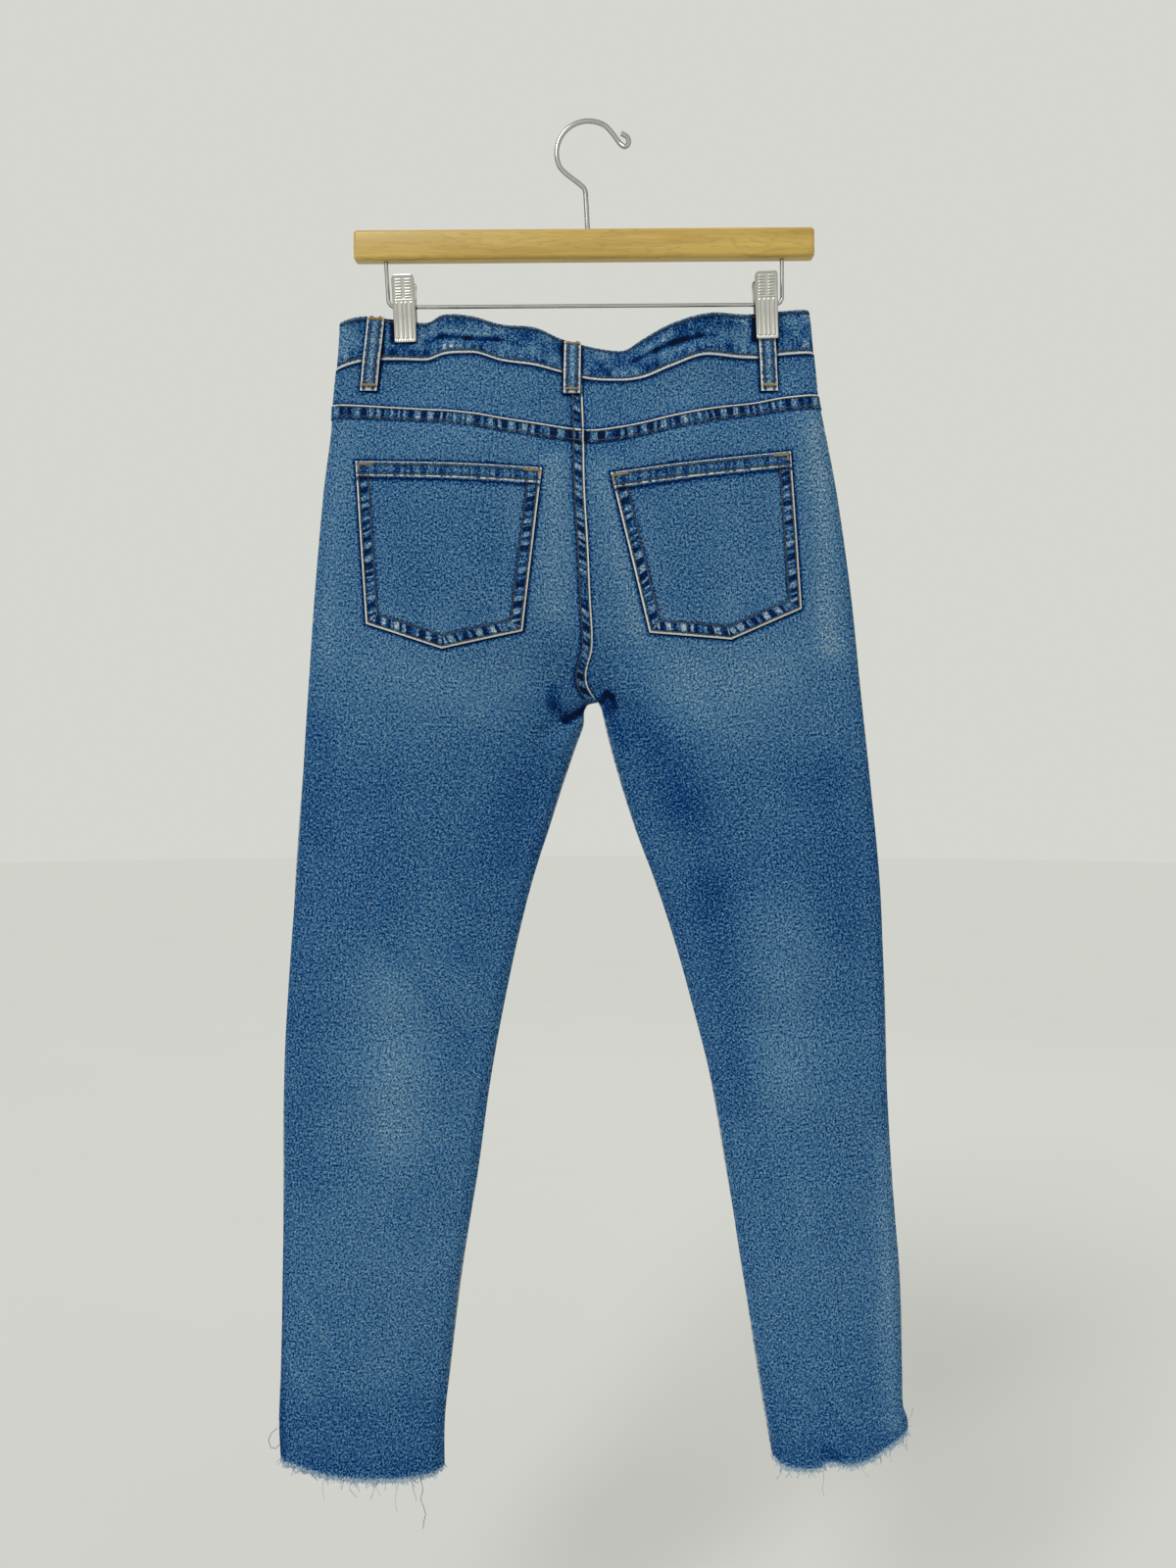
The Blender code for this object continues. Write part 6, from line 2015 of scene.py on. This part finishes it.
def jaw_grids(side, grip):
    half = CLIP_WIDTH / 2
    inner_x = half - CLIP_PLATE
    between = np.linspace(-half + 0.4, half - 0.4, 59)
    xs = np.concatenate([[-half, -half, -half + 0.12], between, [half - 0.12, half, half]])
    z = np.concatenate([np.linspace(CLIP_TIP, 2.0, 62), np.linspace(2.3, CLIP_TOP - 0.3, 66), [CLIP_TOP]])
    face = grip + along(JAW, "z", "rise", z) + CLIP_PLATE
    flange = along(JAW, "z", "flange", z)
    corner = np.clip((z - CLIP_TOP + 4.2) / 4.2, 0, 1)
    narrow = 1 - 0.26 * (1 - np.sqrt(1 - corner**2))
    x_out = xs * narrow[:, None]
    relief = jaw_relief(xs + 0 * z[:, None], z[:, None] + 0 * xs)
    depth_out = face[:, None] + relief
    depth_out[:, [1, -2]] -= 0.38
    depth_out[:, [2, -3]] -= 0.14
    depth_in = face[:, None] - CLIP_PLATE + np.zeros_like(depth_out)
    for edge in (0, -1):
        depth_out[:, edge] = face - CLIP_PLATE - flange
        depth_in[:, edge] = face - CLIP_PLATE - flange
    x_in = np.clip(x_out, -inner_x * narrow[:, None], inner_x * narrow[:, None])
    height = np.broadcast_to(z[:, None], x_out.shape)
    outer = np.stack([x_out, side * depth_out, height], axis=-1)
    inner = np.stack([x_in, side * depth_in, height], axis=-1)
    # The third grid is painted shade on the relief: darker where it slopes down and along the sides of its
    # ribs and dashes
    down = (jaw_relief(xs + 0 * z[:, None], z[:, None] + 0.1) - relief) / 0.1
    across = np.abs(jaw_relief(xs + 0.1, z[:, None] + 0 * xs) - relief) / 0.1
    return outer, inner, np.clip(0.9 * down + 0.55 * across, 0, 1)


def clip_points(points, place):
    """From a clip's own place on the wire into the frame."""
    cosine, sine = math.cos(CLIP_LEAN), math.sin(CLIP_LEAN)
    x = points[..., 0] * cosine - points[..., 2] * sine + place
    z = points[..., 0] * sine + points[..., 2] * cosine + WIRE_Z
    return tilted(np.stack([x, points[..., 1], z], axis=-1))


def spring_path(place):
    """A close coil round the wire, with an arm that runs on to each jaw."""
    turns, radius = 9, SPRING_RADIUS - 0.55
    share = np.linspace(0, 1, turns * 14)
    angle = share * turns * 2 * math.pi
    x = (share - 0.5) * (SPRING_LENGTH - 1.4)
    coil = np.stack([x, radius * np.cos(angle), radius * np.sin(angle)], axis=-1)
    first = coil[0] + np.array([[-0.6, 0.6, -5.0], [-0.3, 0.3, -2.4]])
    last = coil[-1] + np.array([[0.3, 0.3, -2.4], [0.6, 0.6, -5.0]])
    return clip_points(np.concatenate([first, coil, last]), place)


class JEANS_OT_clips(Operator):
    """Build the two plated clips, each with ribbed jaws and a coil spring on the wire"""
    bl_idname = "jeans.clips"
    bl_label = "Clips"

    def execute(self, context):
        for word, place in CLIP_X.items():
            over_loop = LOOP_WALL + LAID_GAP if word == "right" else 0.0
            for side, jaw, grip in ((BACK, "near", CLIP_GRIP + over_loop), (FRONT, "far", CLIP_GRIP)):
                outer, inner, pressed = jaw_grids(side, grip)
                outer, inner = clip_points(outer, place), clip_points(inner, place)
                name = f"clip_{word}_{jaw}_jaw"
                # The `pressed` mark holds the painted shade of the plate's relief
                mesh = wall_mesh("plate_" + name, outer, inner, {"pressed": pressed})
                obj = new_object("plate_" + name, mesh, 35)
                finish_piece(obj, (name,), (FINISH["clip"], FINISH["clip"]))
            coil = thread_object(f"coil_{word}", [spring_path(place)], 1.0, 2)
            finish_piece(coil, (f"clip_{word}_spring",), (FINISH["steel"],))
        return {"FINISHED"}


# Stage

def soft_light(name, place, aim, size, power, colour):
    data = bpy.data.lights.new(name, "AREA")
    data.shape, data.size, data.energy, data.color = "DISK", size, power, colour
    light = bpy.data.objects.new(name, data)
    bpy.context.scene.collection.objects.link(light)
    light.location = place
    way = Vector(aim) - Vector(place)
    light.rotation_euler = way.to_track_quat("-Z", "Y").to_euler()
    light.visible_camera = False


class JEANS_OT_stage(Operator):
    """Set the camera, the soft lights, the pale surround and the floor"""
    bl_idname = "jeans.stage"
    bl_label = "Stage"

    def execute(self, context):
        scene, look = context.scene, context.scene.jeans_stage
        data = bpy.data.cameras.new("Camera")
        data.sensor_width = 36.0
        data.lens = 36.0 / 2 / (0.6128 / 1.05)
        data.clip_start, data.clip_end = 0.05, 60.0
        camera = bpy.data.objects.new("Camera", data)
        scene.collection.objects.link(camera)
        camera.location = (-0.0015, -1.05, -0.5163)
        camera.rotation_euler = (math.pi / 2, 0, 0)
        scene.camera = camera
        scene.view_settings.view_transform = "Standard"

        world = bpy.data.worlds.new("Surround")
        scene.world = world
        world.use_nodes = True
        background = world.node_tree.nodes["Background"]
        background.inputs["Color"].default_value = rgba(look.surround)
        background.inputs["Strength"].default_value = 1.0
        sky = bpy.data.lights.new("Key", "SUN")
        sky.energy, sky.angle, sky.color = look.key_power, math.radians(24), (1.0, 0.99, 0.97)
        key = bpy.data.objects.new("Key", sky)
        scene.collection.objects.link(key)
        key.rotation_euler = Vector((0.55, 1.0, -0.85)).to_track_quat("-Z", "Y").to_euler()
        soft_light("Rim", (0.9, 2.6, 0.9), (0, 0, -0.5), 1.8, look.fill_power, (1.0, 1.0, 1.0))

        shape = bmesh.new()
        bmesh.ops.create_circle(shape, cap_ends=True, segments=96, radius=14.0)
        bmesh.ops.translate(shape, verts=shape.verts[:], vec=(0, 0, -1.32))
        mesh = bpy.data.meshes.new("floor")
        shape.to_mesh(mesh)
        shape.free()
        floor = bpy.data.objects.new("floor", mesh)
        scene.collection.objects.link(floor)
        made, tree, shader = new_material("Plain floor")
        cloud = object_noise(tree, 3.0, detail=3.0)
        low = rgba(tuple(0.97 * part for part in look.floor))
        tree.links.new(
            blended(tree, (-400, 100), cloud, low, rgba(look.floor)), shader.inputs["Base Color"])
        shader.inputs["Roughness"].default_value = 1.0
        shader.inputs["Specular IOR Level"].default_value = 0.0
        mesh.materials.append(made)
        return {"FINISHED"}


# The add-on

STEPS = (
    JEANS_OT_legs, JEANS_OT_yokes, JEANS_OT_waistband, JEANS_OT_pockets, JEANS_OT_fly, JEANS_OT_loops,
    JEANS_OT_sewing, JEANS_OT_hems, JEANS_OT_hanger, JEANS_OT_clips, JEANS_OT_stage,
)
SETTINGS = {
    "jeans_cloth": JeansCloth, "jeans_thread": JeansThread,
    "jeans_hanger": JeansHanger, "jeans_stage": JeansStage,
}


class JEANS_PT_sidebar(Panel):
    """The jeans' sizes, colours and building steps"""
    bl_idname = "JEANS_PT_sidebar"
    bl_label = "Hung jeans"
    bl_space_type = "VIEW_3D"
    bl_region_type = "UI"
    bl_category = "Jeans"

    def draw(self, context):
        for name, settings in SETTINGS.items():
            box = self.layout.box()
            box.label(text=settings.__name__)
            for key in settings.__annotations__:
                box.prop(getattr(context.scene, name), key)
        for step in STEPS:
            self.layout.operator(step.bl_idname)


def register():
    for made in (*SETTINGS.values(), *STEPS, JEANS_PT_sidebar):
        bpy.utils.register_class(made)
    for name, settings in SETTINGS.items():
        setattr(bpy.types.Scene, name, PointerProperty(type=settings))


def unregister():
    for name in SETTINGS:
        delattr(bpy.types.Scene, name)
    for made in (JEANS_PT_sidebar, *reversed(STEPS), *SETTINGS.values()):
        bpy.utils.unregister_class(made)


def main():
    register()
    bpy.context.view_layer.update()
    make_finishes(bpy.context)
    for step in STEPS:
        group, name = step.bl_idname.split(".")
        getattr(getattr(bpy.ops, group), name)()
    bpy.context.view_layer.update()


if __name__ == "__main__":
    main()
